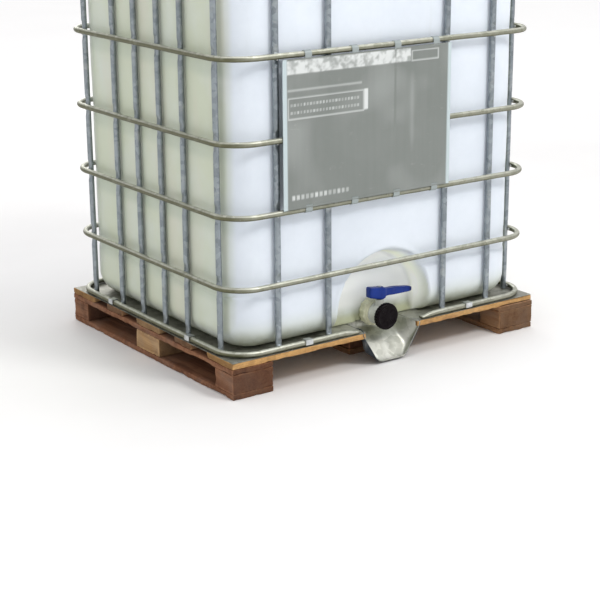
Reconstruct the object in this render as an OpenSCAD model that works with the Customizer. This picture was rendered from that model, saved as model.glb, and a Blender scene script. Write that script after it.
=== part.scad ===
// Intermediate bulk container: wood pallet, steel tray and tube cage round a blow-moulded
// tank, with a fill lid on top and a quarter-turn outlet valve at the front.
// Millimetres. The origin is the middle of the footprint on the floor, -Y is the valve side.

/* [Overall] */
// Width of the container along its front
body_w = 1200; // [1150:10:1250]
// Depth of the container from front to back
body_d = 1000; // [960:10:1040]

/* [Pallet] */
// Thickness of the bottom skids
skid_t = 18; // [15:1:22]
// Height of the blocks
block_h = 60; // [55:1:78]
// Thickness of the stringers on the blocks
stringer_t = 17; // [14:1:22]
// Thickness of the deck boards
deck_t = 19; // [16:1:22]
// Width of the skids, stringers and blocks
block_w = 145; // [120:5:150]
// Depth of a corner block
corner_block_d = 100; // [90:5:120]
// Width of the front, middle and rear deck boards
wide_board = 145; // [130:5:150]
// Width of the two boards between them
narrow_board = 100; // [80:5:110]
// Width of the gap between the two front deck boards
lip_gap = 206; // [204:2:220]
// How far the middle row stands back behind the drip lip
middle_setback = 128; // [126:1:150]

/* [Cage] */
// Outside diameter of the cage tubes
tube_d = 18; // [16:1:20]
// Wall of the cage tubes
tube_wall = 1.0; // [0.8:0.1:1.5]
// Distance from the pallet's edge to a ring's centre line
ring_inset = 12; // [11:1:14]
// Corner radius of the rings
ring_r = 100; // [80:5:100]
// Height of the bottom ring
ring_0_z = 125; // [125:1:127]
// Height of the first ring
ring_1_z = 324; // [310:1:330]
// Height of the second ring
ring_2_z = 541; // [530:1:550]
// Height of the third ring
ring_3_z = 756; // [745:1:765]
// Height of the fourth ring
ring_4_z = 1000; // [985:1:1010]
// Height of the top ring
ring_5_z = 1267; // [1260:1:1270]
// Inner uprights of the front and back, from the middle
long_inner = 228; // [215:1:240]
// Outer uprights of the front and back, from the middle
long_outer = 415; // [400:1:430]
// Innermost uprights of a side, from the middle
short_inner = 69; // [60:1:80]
// Next uprights of a side, from the middle
short_mid = 204; // [190:1:220]
// Outermost uprights of a side, from the middle
short_outer = 388; // [370:1:388]
// Crossbars over the tank, from the middle
crossbar_x = 270; // [240:5:320]

/* [Label plate] */
// Left edge of the plate
plate_left = -410; // [-420:1:-390]
// Right edge of the plate
plate_right = 220; // [200:1:230]
// Thickness of the plate
plate_t = 1; // [0.8:0.1:1.5]

/* [Tank] */
// Wall of the tank
tank_wall = 3; // [3:0.5:4]
// Radius of the tank's upright corners
tank_r = 110; // [100:5:130]
// Radius of the tank's bottom edges
tank_edge_r = 75; // [50:5:80]
// Radius of the tank's top edges
tank_top_r = 50; // [40:5:60]
// Height of the tank's top face
tank_top = 1205; // [1195:1:1205]
// Depth of the recess for the valve
recess_deep = 80; // [78:1:82]
// Radius of the recess's arch
recess_r = 172; // [150:1:180]
// Height of the arch's centre
recess_z = 175; // [170:1:180]
// Bore of the fill neck
neck_bore = 150; // [140:1:150]

/* [Valve] */
// Height of the outlet's centre line
outlet_z = 142; // [142:1:145]
// Bore of the valve
valve_bore = 48.2; // [46:0.1:48.4]
// Diameter of the dust cap
cap_d = 86; // [76:1:88]
// Reach of the lever from the stem
lever_reach = 128; // [110:1:135]

/* [Hidden] */
$fn = 64;
tiny = 0.1;

// Pallet
half_w = body_w / 2;
half_d = body_d / 2;
block_z = skid_t;
stringer_z = block_z + block_h;
deck_z = stringer_z + stringer_t;
pallet_h = deck_z + deck_t;
middle_front = half_d - middle_setback;
narrow_y = (half_d - wide_board + wide_board / 2) / 2;
nail_d = 3.5;
nail_head_d = 8;
nail_head_t = 1.2;
nail_l = 55;
nail_x = 45;
nail_y = 30;

// Tray and lip
tray_t = 1.5;
tray_edge = 3;
tray_z = pallet_h;
tray_top = tray_z + tray_t;
notch_w = lip_gap - 4;
notch_y = -half_d + middle_setback - 1;
lip_shift = 1.1;
lip_top_w = 200;
lip_low_w = 106;
lip_low_z = 7;
lip_wall = 1.5;
lip_wing_w = 236;
wing_room = 2.5;

// Cage
ring_x = half_w - ring_inset;
ring_y = half_d - ring_inset;
tube_r = tube_d / 2;
upright_gap = 0.2;
upright_x = ring_x - tube_d - upright_gap;
upright_y = ring_y - tube_d - upright_gap;
upright_z = tray_top + 0.3;
bottom_gap = 250;
bar_drop = 3;
bar_z = ring_5_z + bar_drop;
tab_z = ring_5_z + tube_r + 0.2;
tab_t = 3;
tab_w = 28;
tab_in = 46;
tab_out = 8;
bar_end = ring_y - tube_r - 4;
bolt_d = 8;
bolt_hole = 8.6;
bolt_head = 13;
bolt_head_t = 5.5;
nut_t = 6.8;
clamp_w = 26;
clamp_t = 1.5;
clamp_gap = 0.4;
clamp_flange = 17;
clamp_side = narrow_y + 26;
clamp_front = 320;
clamp_screw_in = ring_inset + tube_r + 10.5;
screw_d = 4.5;
screw_l = 17;
screw_head_d = 9;
screw_head_t = 3;

// Label plate
plate_y = -ring_y - tube_r - 0.3;
plate_low = ring_2_z + tube_r - 7;
plate_high = ring_4_z - tube_r - 2;
plate_fold = 2.5;
tab_width = 24;
tab_gap = 0.4;
plate_hooks = [-330, -160, 0, 150];

// Tank
tank_z = tray_top + 0.5;
tank_h = tank_top - tank_z;
tank_x = upright_x - tube_r - 2.8;
tank_y = upright_y - tube_r - 2.8;
recess_back = tank_y - recess_deep;
neck_wall = 7;
neck_r = neck_bore / 2 + neck_wall;
neck_top = tank_top + 32;
spigot_r = 33;
spigot_bore = 46;
spigot_l = 24;

// Valve, measured forward from the recess's back wall
gasket_t = 3;
spigot_end = recess_back + spigot_l;
flange_y = spigot_end + gasket_t;
flange_t = 4.5;
body_r = 31;
stem_y = flange_y + 27;
thread_y = flange_y + 49;
body_end = flange_y + 66;
thread_r = 29.7;
nut_r = 46;
nut_back = recess_back + 4;
nut_front = flange_y + flange_t + 5.5;
boss_r = 13;
boss_top = outlet_z + 48.5;
pad_r = 10;
pad_low = outlet_z - 37;
stem_r = 5;
running = 0.06;
disc_r = valve_bore / 2 - 0.4;
disc_t = 5;
seat_r = 26;
seat_l = 20;
seal_r = 8;
seal_t = 4;
lever_low = outlet_z + 50;
lever_top = outlet_z + 88;
arm_low = lever_low + 4;
arm_tip_t = 17;
arm_droop = 17;
block_rise = 7;
stem_top = lever_top - 8;
hub_r = 16;
lever_screw_r = 2.5;
lever_head_r = 5;
lever_head_t = 3;
cap_y = thread_y + 4;
cap_front = body_end + 5;
cap_plate = 3;
cap_gasket_t = 1.8;

// Lid
lid_r = 94;
lid_low = tank_top + 6;
lid_gasket_t = 1.2;
lid_under = neck_top + lid_gasket_t + 0.2;
lid_plate = 5;
lid_top = lid_under + lid_plate;
plug_r = 28.6;
plug_head_r = 36;
plug_ring_t = 1.8;
plug_low = lid_top - 14;
plug_under = lid_top + plug_ring_t + 0.2;
plug_top = plug_under + 8;
collar_r = 34;
side_gap = 0.4;

// ---- helpers ----

module rounded_rect(w, d, r) {
    square([w - 2 * r, d], center = true);
    square([w, d - 2 * r], center = true);
    for (sx = [-1, 1]) for (sy = [-1, 1])
        translate([sx * (w / 2 - r), sy * (d / 2 - r)]) circle(r);
}

module board(x0, x1, y0, y1, z, t) {
    translate([x0, y0, z]) cube([x1 - x0, y1 - y0, t]);
}

// A cylinder or ring whose axis runs forward, from y0 to y1 in front of the middle
module forward(y0, y1, r, bore = 0) {
    translate([0, -y0, outlet_z]) rotate([90, 0, 0]) difference() {
        cylinder(r = r, h = y1 - y0);
        if (bore > 0) translate([0, 0, -1]) cylinder(r = bore, h = y1 - y0 + 2);
    }
}

module washer(r, bore, z0, z1) {
    translate([0, 0, z0]) difference() {
        cylinder(r = r, h = z1 - z0);
        translate([0, 0, -1]) cylinder(r = bore, h = z1 - z0 + 2);
    }
}

module tube_z(z0, z1) {
    translate([0, 0, z0]) difference() {
        cylinder(d = tube_d, h = z1 - z0);
        translate([0, 0, -1]) cylinder(r = tube_r - tube_wall, h = z1 - z0 + 2);
    }
}

module tube_section() {
    difference() {
        circle(tube_r);
        circle(tube_r - tube_wall);
    }
}

module tube_corner() {
    rotate_extrude(angle = 90) translate([ring_r, 0]) tube_section();
}

module tube_run(length) {
    rotate([0, 90, 0]) translate([0, 0, -length / 2]) linear_extrude(length) tube_section();
}

module ring(z, front_gap = 0) {
    run_x = 2 * (ring_x - ring_r);
    run_y = 2 * (ring_y - ring_r);
    part_x = (run_x - front_gap) / 2;
    translate([0, 0, z]) {
        translate([0, ring_y, 0]) tube_run(run_x);
        for (s = [-1, 1]) translate([s * ring_x, 0, 0]) rotate([0, 0, 90]) tube_run(run_y);
        if (front_gap == 0) translate([0, -ring_y, 0]) tube_run(run_x);
        if (front_gap > 0) for (s = [-1, 1])
            translate([s * (front_gap + part_x) / 2, -ring_y, 0]) tube_run(part_x);
        for (q = [0 : 3]) {
            sx = (q == 0 || q == 3) ? 1 : -1;
            sy = (q < 2) ? 1 : -1;
            translate([sx * (ring_x - ring_r), sy * (ring_y - ring_r), 0])
                rotate([0, 0, 90 * q]) tube_corner();
        }
    }
}

// ---- pallet ----

row_x = half_w - block_w / 2;
mid_half = wide_board / 2;

module skid(x, y0) {
    color("saddlebrown") board(x - block_w / 2, x + block_w / 2, y0, half_d, 0, skid_t);
}

module block(x, y0, y1) {
    color("peru") board(x - block_w / 2, x + block_w / 2, y0, y1, block_z, block_h);
}

module stringer(x, y0) {
    color("sandybrown") board(x - block_w / 2, x + block_w / 2, y0, half_d, stringer_z, stringer_t);
}

module deck(x0, x1, y0, y1) {
    color("burlywood") board(x0, x1, y0, y1, deck_z, deck_t);
}

module skid_left() { skid(-row_x, -half_d); }
module skid_middle() { skid(0, -middle_front); }
module skid_right() { skid(row_x, -half_d); }

module block_front_left() { block(-row_x, -half_d, -half_d + corner_block_d); }
module block_front_middle() { block(0, -middle_front, -middle_front + corner_block_d); }
module block_front_right() { block(row_x, -half_d, -half_d + corner_block_d); }
module block_mid_left() { block(-row_x, -mid_half, mid_half); }
module block_mid_middle() { block(0, -mid_half, mid_half); }
module block_mid_right() { block(row_x, -mid_half, mid_half); }
module block_rear_left() { block(-row_x, half_d - corner_block_d, half_d); }
module block_rear_middle() { block(0, half_d - corner_block_d, half_d); }
module block_rear_right() { block(row_x, half_d - corner_block_d, half_d); }

module stringer_left() { stringer(-row_x, -half_d); }
module stringer_middle() { stringer(0, -middle_front); }
module stringer_right() { stringer(row_x, -half_d); }

module deck_front_left() { deck(-half_w, -lip_gap / 2, -half_d + wing_room, -half_d + wide_board); }
module deck_front_right() { deck(lip_gap / 2, half_w, -half_d + wing_room, -half_d + wide_board); }
module deck_second() { deck(-half_w, half_w, -narrow_y - narrow_board / 2, -narrow_y + narrow_board / 2); }
module deck_middle() { deck(-half_w, half_w, -mid_half, mid_half); }
module deck_fourth() { deck(-half_w, half_w, narrow_y - narrow_board / 2, narrow_y + narrow_board / 2); }
module deck_rear() { deck(-half_w, half_w, half_d - wide_board, half_d); }

module nail(x, y, z, up) {
    translate([x, y, z]) mirror([0, 0, up ? 1 : 0]) {
        cylinder(d = nail_head_d, h = nail_head_t);
        cylinder(d = nail_d, h = nail_l);
    }
}

module pallet_nails() {
    corner_y = half_d - corner_block_d / 2;
    color("dimgray") {
        for (x = [-row_x, 0, row_x]) for (sx = [-1, 1]) {
            for (y = [0, corner_y]) nail(x + sx * nail_x, y, tiny, false);
            for (y = [0, corner_y]) nail(x + sx * nail_x, y + nail_y, pallet_h - tiny, true);
        }
        for (x = [-row_x, row_x]) for (sx = [-1, 1]) {
            nail(x + sx * nail_x, -corner_y, tiny, false);
            nail(x + sx * nail_x, -corner_y - nail_y, pallet_h - tiny, true);
        }
    }
}

// ---- tray, lip and clamps ----

module clamp_places() {
    for (s = [-1, 1]) for (t = [-1, 1]) {
        translate([s * half_w, t * clamp_side, 0]) rotate([0, 0, s > 0 ? 0 : 180]) children();
        translate([t * clamp_front, s * half_d, 0]) rotate([0, 0, s * 90]) children();
    }
}

module base_tray() {
    color("lightsteelblue") difference() {
        translate([-half_w + tray_edge, -half_d + tray_edge, tray_z])
            cube([body_w - 2 * tray_edge, body_d - 2 * tray_edge, tray_t]);
        translate([-notch_w / 2, -half_d, tray_z - 1]) cube([notch_w, half_d + notch_y, tray_t + 2]);
        clamp_places() translate([-clamp_screw_in, 0, tray_z - 1])
            cylinder(d = screw_d + 0.6, h = tray_t + 2);
    }
}

// The lip's sheet, as [distance in front of the middle, height]
lip_run = [[-notch_y - 13, tray_z - 0.3], [-notch_y + 0.5, tray_z - 0.3], [-notch_y + 3, 88],
    [half_d - 46, 72], [half_d - 14, 34], [half_d - 4, lip_low_z]];

module lip_side(points) {
    back = [for (i = [len(points) - 1 : -1 : 0]) [points[i][0] - lip_shift, points[i][1] - lip_shift]];
    polygon(concat(points, back));
}

module drip_lip() {
    wide = lip_top_w / 2;
    narrow = lip_low_w / 2;
    color("gainsboro") {
        intersection() {
            rotate([90, 0, -90]) translate([0, 0, -wide]) linear_extrude(2 * wide) lip_side(lip_run);
            translate([0, -half_d, 0]) rotate([90, 0, 180]) linear_extrude(half_d)
                polygon([[-wide, tray_z], [-wide, 84], [-narrow - 12, 24], [-narrow + 12, 0],
                    [narrow - 12, 0], [narrow + 12, 24], [wide, 84], [wide, tray_z]]);
        }
        for (s = [-1, 1]) {
            translate([s * (wide - lip_wall / 2) - lip_wall / 2, -half_d + 0.5, 71])
                cube([lip_wall, half_d + notch_y - 8.5, tray_z - 71 - 1]);
            translate([0, -half_d + 0.5 + lip_wall, 0]) rotate([90, 0, 0]) linear_extrude(lip_wall)
                polygon([[s * (wide - lip_wall), 78], [s * (wide + 2), 78], [s * lip_wing_w / 2, tray_z - 8],
                    [s * lip_wing_w / 2, tray_z - 1], [s * (wide - lip_wall), tray_z - 1]]);
        }
    }
}

module clamp_profile() {
    inner = -ring_inset - tube_r - clamp_gap;
    outer = -ring_inset + tube_r + clamp_gap;
    top = ring_0_z + tube_r + clamp_gap;
    foot = tray_top + 0.2;
    polygon([[inner - clamp_flange - clamp_t, foot], [inner, foot], [inner, top], [outer, top],
        [outer, foot + 4], [outer + clamp_t, foot + 4], [outer + clamp_t, top + clamp_t],
        [inner - clamp_t, top + clamp_t], [inner - clamp_t, foot + clamp_t],
        [inner - clamp_flange - clamp_t, foot + clamp_t]]);
}

module cage_clamps() {
    color("silver") clamp_places() difference() {
        translate([0, clamp_w / 2, 0]) rotate([90, 0, 0]) linear_extrude(clamp_w) clamp_profile();
        translate([-clamp_screw_in, 0, tray_z]) cylinder(d = screw_d + 0.6, h = 10);
    }
}

module clamp_screws() {
    seat = tray_top + 0.3 + clamp_t;
    color("slategray") clamp_places() translate([-clamp_screw_in, 0, 0]) {
        translate([0, 0, seat - screw_l]) cylinder(d = screw_d, h = screw_l + 1);
        translate([0, 0, seat]) cylinder(d = screw_head_d, h = screw_head_t);
    }
}

// ---- cage ----

module ring_bottom() { color("silver") ring(ring_0_z, bottom_gap); }
module ring_first() { color("silver") ring(ring_1_z); }
module ring_second() { color("silver") ring(ring_2_z); }
module ring_third() { color("silver") ring(ring_3_z); }
module ring_fourth() { color("silver") ring(ring_4_z); }

module bolt_places() {
    for (sx = [-1, 1]) for (sy = [-1, 1]) translate([sx * crossbar_x, sy * ring_y, 0]) children();
}

module ring_top() {
    color("silver") difference() {
        ring(ring_5_z);
        bolt_places() translate([0, 0, ring_5_z - tube_d]) cylinder(d = bolt_hole, h = 2 * tube_d);
    }
}

module upright_long(y) {
    for (x = [-long_outer, -long_inner, long_inner, long_outer])
        translate([x, y, 0]) tube_z(upright_z, ring_5_z);
}

module upright_short(x) {
    for (y = [-short_outer, -short_mid, -short_inner, short_inner, short_mid, short_outer])
        translate([x, y, 0]) tube_z(upright_z, ring_5_z);
}

module uprights_front() { color("darkgray") upright_long(-upright_y); }
module uprights_rear() { color("darkgray") upright_long(upright_y); }
module uprights_left() { color("darkgray") upright_short(-upright_x); }
module uprights_right() { color("darkgray") upright_short(upright_x); }

module crossbar(x) {
    color("silver") translate([x, 0, 0]) difference() {
        union() {
            translate([0, bar_end, bar_z]) rotate([90, 0, 0]) cylinder(d = tube_d, h = 2 * bar_end);
            for (s = [-1, 1]) translate([-tab_w / 2, s > 0 ? ring_y - tab_in : -ring_y - tab_out, tab_z])
                cube([tab_w, tab_in + tab_out, tab_t]);
        }
        translate([0, bar_end + 1, bar_z]) rotate([90, 0, 0])
            cylinder(r = tube_r - tube_wall, h = 2 * bar_end + 2);
        for (s = [-1, 1]) translate([0, s * ring_y, tab_z - 1]) cylinder(d = bolt_hole, h = tab_t + 2);
    }
}

module crossbar_left() { crossbar(-crossbar_x); }
module crossbar_right() { crossbar(crossbar_x); }

module crossbar_bolts() {
    color("dimgray") bolt_places() {
        translate([0, 0, ring_5_z - tube_r - nut_t - 3]) cylinder(d = bolt_d, h = tube_d + nut_t + 5 + tab_t);
        translate([0, 0, tab_z + tab_t]) cylinder(d = bolt_head * 1.1547, h = bolt_head_t, $fn = 6);
    }
}

module crossbar_nuts() {
    color("slategray") bolt_places() translate([0, 0, ring_5_z - tube_r - nut_t - 0.2]) difference() {
        cylinder(d = bolt_head * 1.1547, h = nut_t, $fn = 6);
        translate([0, 0, -1]) cylinder(d = bolt_d + 0.1, h = nut_t + 2);
    }
}

// A tab that hooks over the ring above the plate, or under the one below it
module plate_hook(z, way) {
    near = -ring_y + tube_r + tab_gap;
    over = tube_r + tab_gap;
    rotate([90, 0, 90]) linear_extrude(tab_width) translate([0, z]) mirror([0, way > 0 ? 0 : 1])
        polygon([[plate_y - plate_t, -tube_r - 8], [plate_y, -tube_r - 8], [plate_y, over], [near, over],
            [near, -2], [near + plate_t, -2], [near + plate_t, over + plate_t],
            [plate_y - plate_t, over + plate_t]]);
}

module label_plate() {
    w = plate_right - plate_left;
    h = plate_high - plate_low;
    color("lightgray") {
        difference() {
            translate([plate_left, plate_y - plate_fold, plate_low]) cube([w, plate_fold, h]);
            translate([plate_left + plate_t, plate_y - plate_fold - 1, plate_low + plate_t])
                cube([w - 2 * plate_t, plate_fold + 1 - plate_t, h - 2 * plate_t]);
        }
        for (x = plate_hooks) {
            translate([x, 0, 0]) plate_hook(ring_4_z, 1);
            translate([x, 0, 0]) plate_hook(ring_2_z, -1);
        }
    }
}

// ---- tank ----

// A wall's outline: one radius at its lower corners and another at its upper corners
module cheek(w, h, low, high) {
    intersection() {
        translate([0, low]) rounded_rect(w, h + 2 * low, low);
        translate([0, -high]) rounded_rect(w, h + 2 * high, high);
    }
}

module tank_form(inset) {
    w = 2 * (tank_x - inset);
    d = 2 * (tank_y - inset);
    h = tank_h - 2 * inset;
    r = tank_r - inset;
    low = tank_edge_r - inset;
    high = tank_top_r - inset;
    intersection() {
        translate([0, 0, tank_z]) linear_extrude(tank_h) rounded_rect(w, d, r);
        translate([0, half_d, tank_z + tank_h / 2]) rotate([90, 0, 0])
            linear_extrude(body_d) cheek(w, h, low, high);
        translate([-half_w, 0, tank_z + tank_h / 2]) rotate([90, 0, 90])
            linear_extrude(body_w) cheek(d, h, low, high);
    }
}

module recess(inset) {
    r = recess_r + inset;
    translate([0, -recess_back + inset, 0]) rotate([90, 0, 0]) linear_extrude(half_d) {
        translate([0, recess_z]) circle(r);
        translate([-r, 0]) square([2 * r, recess_z]);
    }
}

module tank() {
    color("whitesmoke") difference() {
        union() {
            difference() {
                tank_form(0);
                recess(0);
            }
            translate([0, 0, tank_top - 10]) cylinder(r = neck_r, h = neck_top - tank_top + 10);
            forward(recess_back - 1, spigot_end, spigot_r);
        }
        difference() {
            tank_form(tank_wall);
            recess(tank_wall);
        }
        translate([0, 0, tank_top - 20]) cylinder(d = neck_bore, h = neck_top - tank_top + 30);
        forward(recess_back - 20, spigot_end + 1, spigot_bore / 2);
    }
}

// ---- valve ----

module outlet_nut() {
    color("ghostwhite") difference() {
        forward(nut_back, nut_front, nut_r);
        forward(nut_back - 1, flange_y + flange_t + 0.3, spigot_r + side_gap);
        forward(nut_back - 1, nut_front + 1, body_r + side_gap);
    }
}

module valve_gasket() {
    color("darkslategray") forward(spigot_end + tiny, flange_y - tiny, spigot_r - 0.5, spigot_bore / 2);
}

module stem_bore(r, z0, z1) {
    translate([0, -stem_y, z0]) cylinder(r = r, h = z1 - z0);
}

module valve_body() {
    color("white") difference() {
        union() {
            forward(flange_y, flange_y + flange_t, spigot_r);
            forward(flange_y, thread_y, body_r);
            forward(flange_y, body_end, thread_r);
            stem_bore(boss_r, outlet_z, boss_top);
            stem_bore(pad_r, pad_low, outlet_z);
        }
        forward(flange_y - 1, body_end + 1, valve_bore / 2);
        forward(stem_y - seat_l / 2, stem_y + seat_l / 2, seat_r + running);
        stem_bore(stem_r + running, pad_low + 4, boss_top + 1);
        stem_bore(seal_r + running, boss_top - seal_t - 1, boss_top + 1);
    }
}

module valve_seat() {
    color("dimgray") difference() {
        forward(stem_y - seat_l / 2 + tiny, stem_y + seat_l / 2 - tiny, seat_r, valve_bore / 2);
        stem_bore(stem_r + side_gap, pad_low, boss_top);
    }
}

module valve_disc() {
    color("lightyellow") difference() {
        union() {
            forward(stem_y - disc_t / 2, stem_y + disc_t / 2, disc_r);
            stem_bore(stem_r, pad_low + 5, stem_top);
        }
        stem_bore(lever_screw_r + running, stem_top - 14, stem_top + 1);
    }
}

module stem_seal() {
    color("black") translate([0, -stem_y, 0]) washer(seal_r, stem_r + running, boss_top - seal_t, boss_top);
}

module lever() {
    tail = 46;
    root_w = 15;
    tip_w = 8;
    tip_x = lever_reach - tip_w;
    color("royalblue") difference() {
        union() {
            stem_bore(hub_r, lever_low, lever_top);
            intersection() {
                translate([0, -stem_y, lever_low]) linear_extrude(lever_top - lever_low) {
                    polygon([[0, -root_w], [tip_x, -tip_w], [tip_x, tip_w], [0, root_w]]);
                    translate([tip_x, 0]) circle(tip_w);
                }
                translate([0, -stem_y + root_w, 0]) rotate([90, 0, 0]) linear_extrude(2 * root_w)
                    polygon([[0, arm_low], [lever_reach + 1, lever_top - arm_droop - arm_tip_t],
                        [lever_reach + 1, lever_top - arm_droop], [0, lever_top]]);
            }
            translate([0, -stem_y + root_w - 1, 0]) rotate([90, 0, 0]) linear_extrude(2 * root_w - 2)
                polygon([[0, lever_low + 2], [0, lever_top], [-tail, lever_top + block_rise],
                    [-tail, lever_low + 2 + block_rise]]);
        }
        stem_bore(stem_r + running, lever_low - 1, stem_top + 0.2);
        stem_bore(lever_screw_r + running, stem_top - 1, lever_top + 1);
        stem_bore(lever_head_r + running, lever_top, lever_top + lever_head_t);
    }
}

module lever_screw() {
    color("silver") {
        stem_bore(lever_screw_r, stem_top - 12, lever_top + 1);
        stem_bore(lever_head_r, lever_top + tiny, lever_top + lever_head_t);
    }
}

module cap_gasket() {
    color("darkred") forward(body_end + tiny, body_end + cap_gasket_t, thread_r - 0.2, valve_bore / 2 - 1);
}

module dust_cap() {
    color("#202020") difference() {
        forward(cap_y, cap_front, cap_d / 2);
        forward(cap_y - 1, cap_front - cap_plate, thread_r + side_gap);
    }
}

// ---- lid ----

module lid_gasket() {
    color("darkslategray")
        washer(neck_r - side_gap, neck_bore / 2 + 1, neck_top + tiny, neck_top + lid_gasket_t);
}

module fill_lid() {
    color("#303030") difference() {
        translate([0, 0, lid_low]) cylinder(r = lid_r, h = lid_top - lid_low);
        translate([0, 0, lid_low - 1]) difference() {
            cylinder(r = neck_r + side_gap, h = lid_under - lid_low + 1);
            translate([0, 0, plug_low - lid_low]) cylinder(r = collar_r, h = 40);
        }
        translate([0, 0, lid_low]) cylinder(r = plug_r + side_gap, h = lid_top - lid_low + 1);
    }
}

module plug_ring() {
    color("darkred") washer(collar_r - 1, plug_r + side_gap, lid_top + tiny, lid_top + plug_ring_t);
}

module vent_plug() {
    color("#404040") {
        translate([0, 0, plug_under]) cylinder(r = plug_head_r, h = plug_top - plug_under);
        translate([0, 0, plug_low]) cylinder(r = plug_r, h = plug_under - plug_low + 1);
    }
}

skid_left();
skid_middle();
skid_right();
block_front_left();
block_front_middle();
block_front_right();
block_mid_left();
block_mid_middle();
block_mid_right();
block_rear_left();
block_rear_middle();
block_rear_right();
stringer_left();
stringer_middle();
stringer_right();
deck_front_left();
deck_front_right();
deck_second();
deck_middle();
deck_fourth();
deck_rear();
pallet_nails();
base_tray();
drip_lip();
cage_clamps();
clamp_screws();
ring_bottom();
ring_first();
ring_second();
ring_third();
ring_fourth();
ring_top();
uprights_front();
uprights_rear();
uprights_left();
uprights_right();
crossbar_left();
crossbar_right();
crossbar_bolts();
crossbar_nuts();
label_plate();
tank();
outlet_nut();
valve_gasket();
valve_body();
valve_seat();
valve_disc();
stem_seal();
lever();
lever_screw();
cap_gasket();
dust_cap();
lid_gasket();
fill_lid();
plug_ring();
vent_plug();
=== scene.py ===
import math

import bmesh
import bpy
import numpy as np
from mathutils import Matrix, Vector, noise


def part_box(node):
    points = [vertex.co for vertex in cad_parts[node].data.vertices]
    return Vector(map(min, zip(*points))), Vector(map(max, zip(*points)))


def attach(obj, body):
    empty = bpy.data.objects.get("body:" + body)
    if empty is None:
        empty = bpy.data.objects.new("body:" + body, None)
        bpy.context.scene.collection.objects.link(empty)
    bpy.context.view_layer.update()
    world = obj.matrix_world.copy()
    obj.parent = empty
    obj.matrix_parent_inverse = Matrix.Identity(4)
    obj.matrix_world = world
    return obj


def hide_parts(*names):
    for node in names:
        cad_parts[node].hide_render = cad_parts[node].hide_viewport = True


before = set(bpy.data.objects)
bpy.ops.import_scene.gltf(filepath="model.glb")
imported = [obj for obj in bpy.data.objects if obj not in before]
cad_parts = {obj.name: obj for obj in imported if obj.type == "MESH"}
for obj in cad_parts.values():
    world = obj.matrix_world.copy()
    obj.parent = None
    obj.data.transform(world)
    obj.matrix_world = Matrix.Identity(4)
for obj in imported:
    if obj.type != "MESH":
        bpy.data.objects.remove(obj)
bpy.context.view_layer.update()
MM = 0.001


def ramp01(x, a, b):
    """0 below a, 1 above b, with a smooth step between them."""
    t = np.clip((np.asarray(x, float) - a) / (b - a), 0, 1)
    return t * t * (3 - 2 * t)


def hump(x, centre, flat, fall):
    """1 within flat of centre, and 0 further than flat + fall from it."""
    return 1 - ramp01(np.abs(np.asarray(x, float) - centre), flat, flat + fall)


def fractal(points, scale, octaves=3, seed=0.0):
    """Fractal noise, about -1 to 1, at each point."""
    shift = Vector((seed, seed * 1.7, seed * 0.3))
    return np.array([noise.fractal(Vector(p) * scale + shift, 1.0, 2.0, octaves) for p in points])


# ---- meshes ----


def new_piece(name, verts, faces, smooth=True, sharp=None):
    """A mesh object; edges that turn by more than sharp degrees stay hard."""
    mesh = bpy.data.meshes.new(name)
    mesh.from_pydata([tuple(v) for v in verts], [], [tuple(f) for f in faces])
    mesh.update()
    piece = bpy.data.objects.new(name, mesh)
    bpy.context.scene.collection.objects.link(piece)
    if smooth:
        mesh.shade_smooth()
    if sharp:
        mesh.set_sharp_from_angle(angle=math.radians(sharp))
    return piece


def store(piece, name, values):
    """Keeps a number for each point of a piece, for its material to read."""
    layer = piece.data.attributes.new(name, "FLOAT", "POINT")
    layer.data.foreach_set("value", np.asarray(values, np.float32))


def grid_faces(rows, cols, close_rows, close_cols, flip):
    faces = []
    for i in range(rows if close_rows else rows - 1):
        for j in range(cols if close_cols else cols - 1):
            a, b = i * cols + j, i * cols + (j + 1) % cols
            c, d = ((i + 1) % rows) * cols + (j + 1) % cols, ((i + 1) % rows) * cols + j
            faces.append((d, c, b, a) if flip else (a, b, c, d))
    return faces


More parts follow.
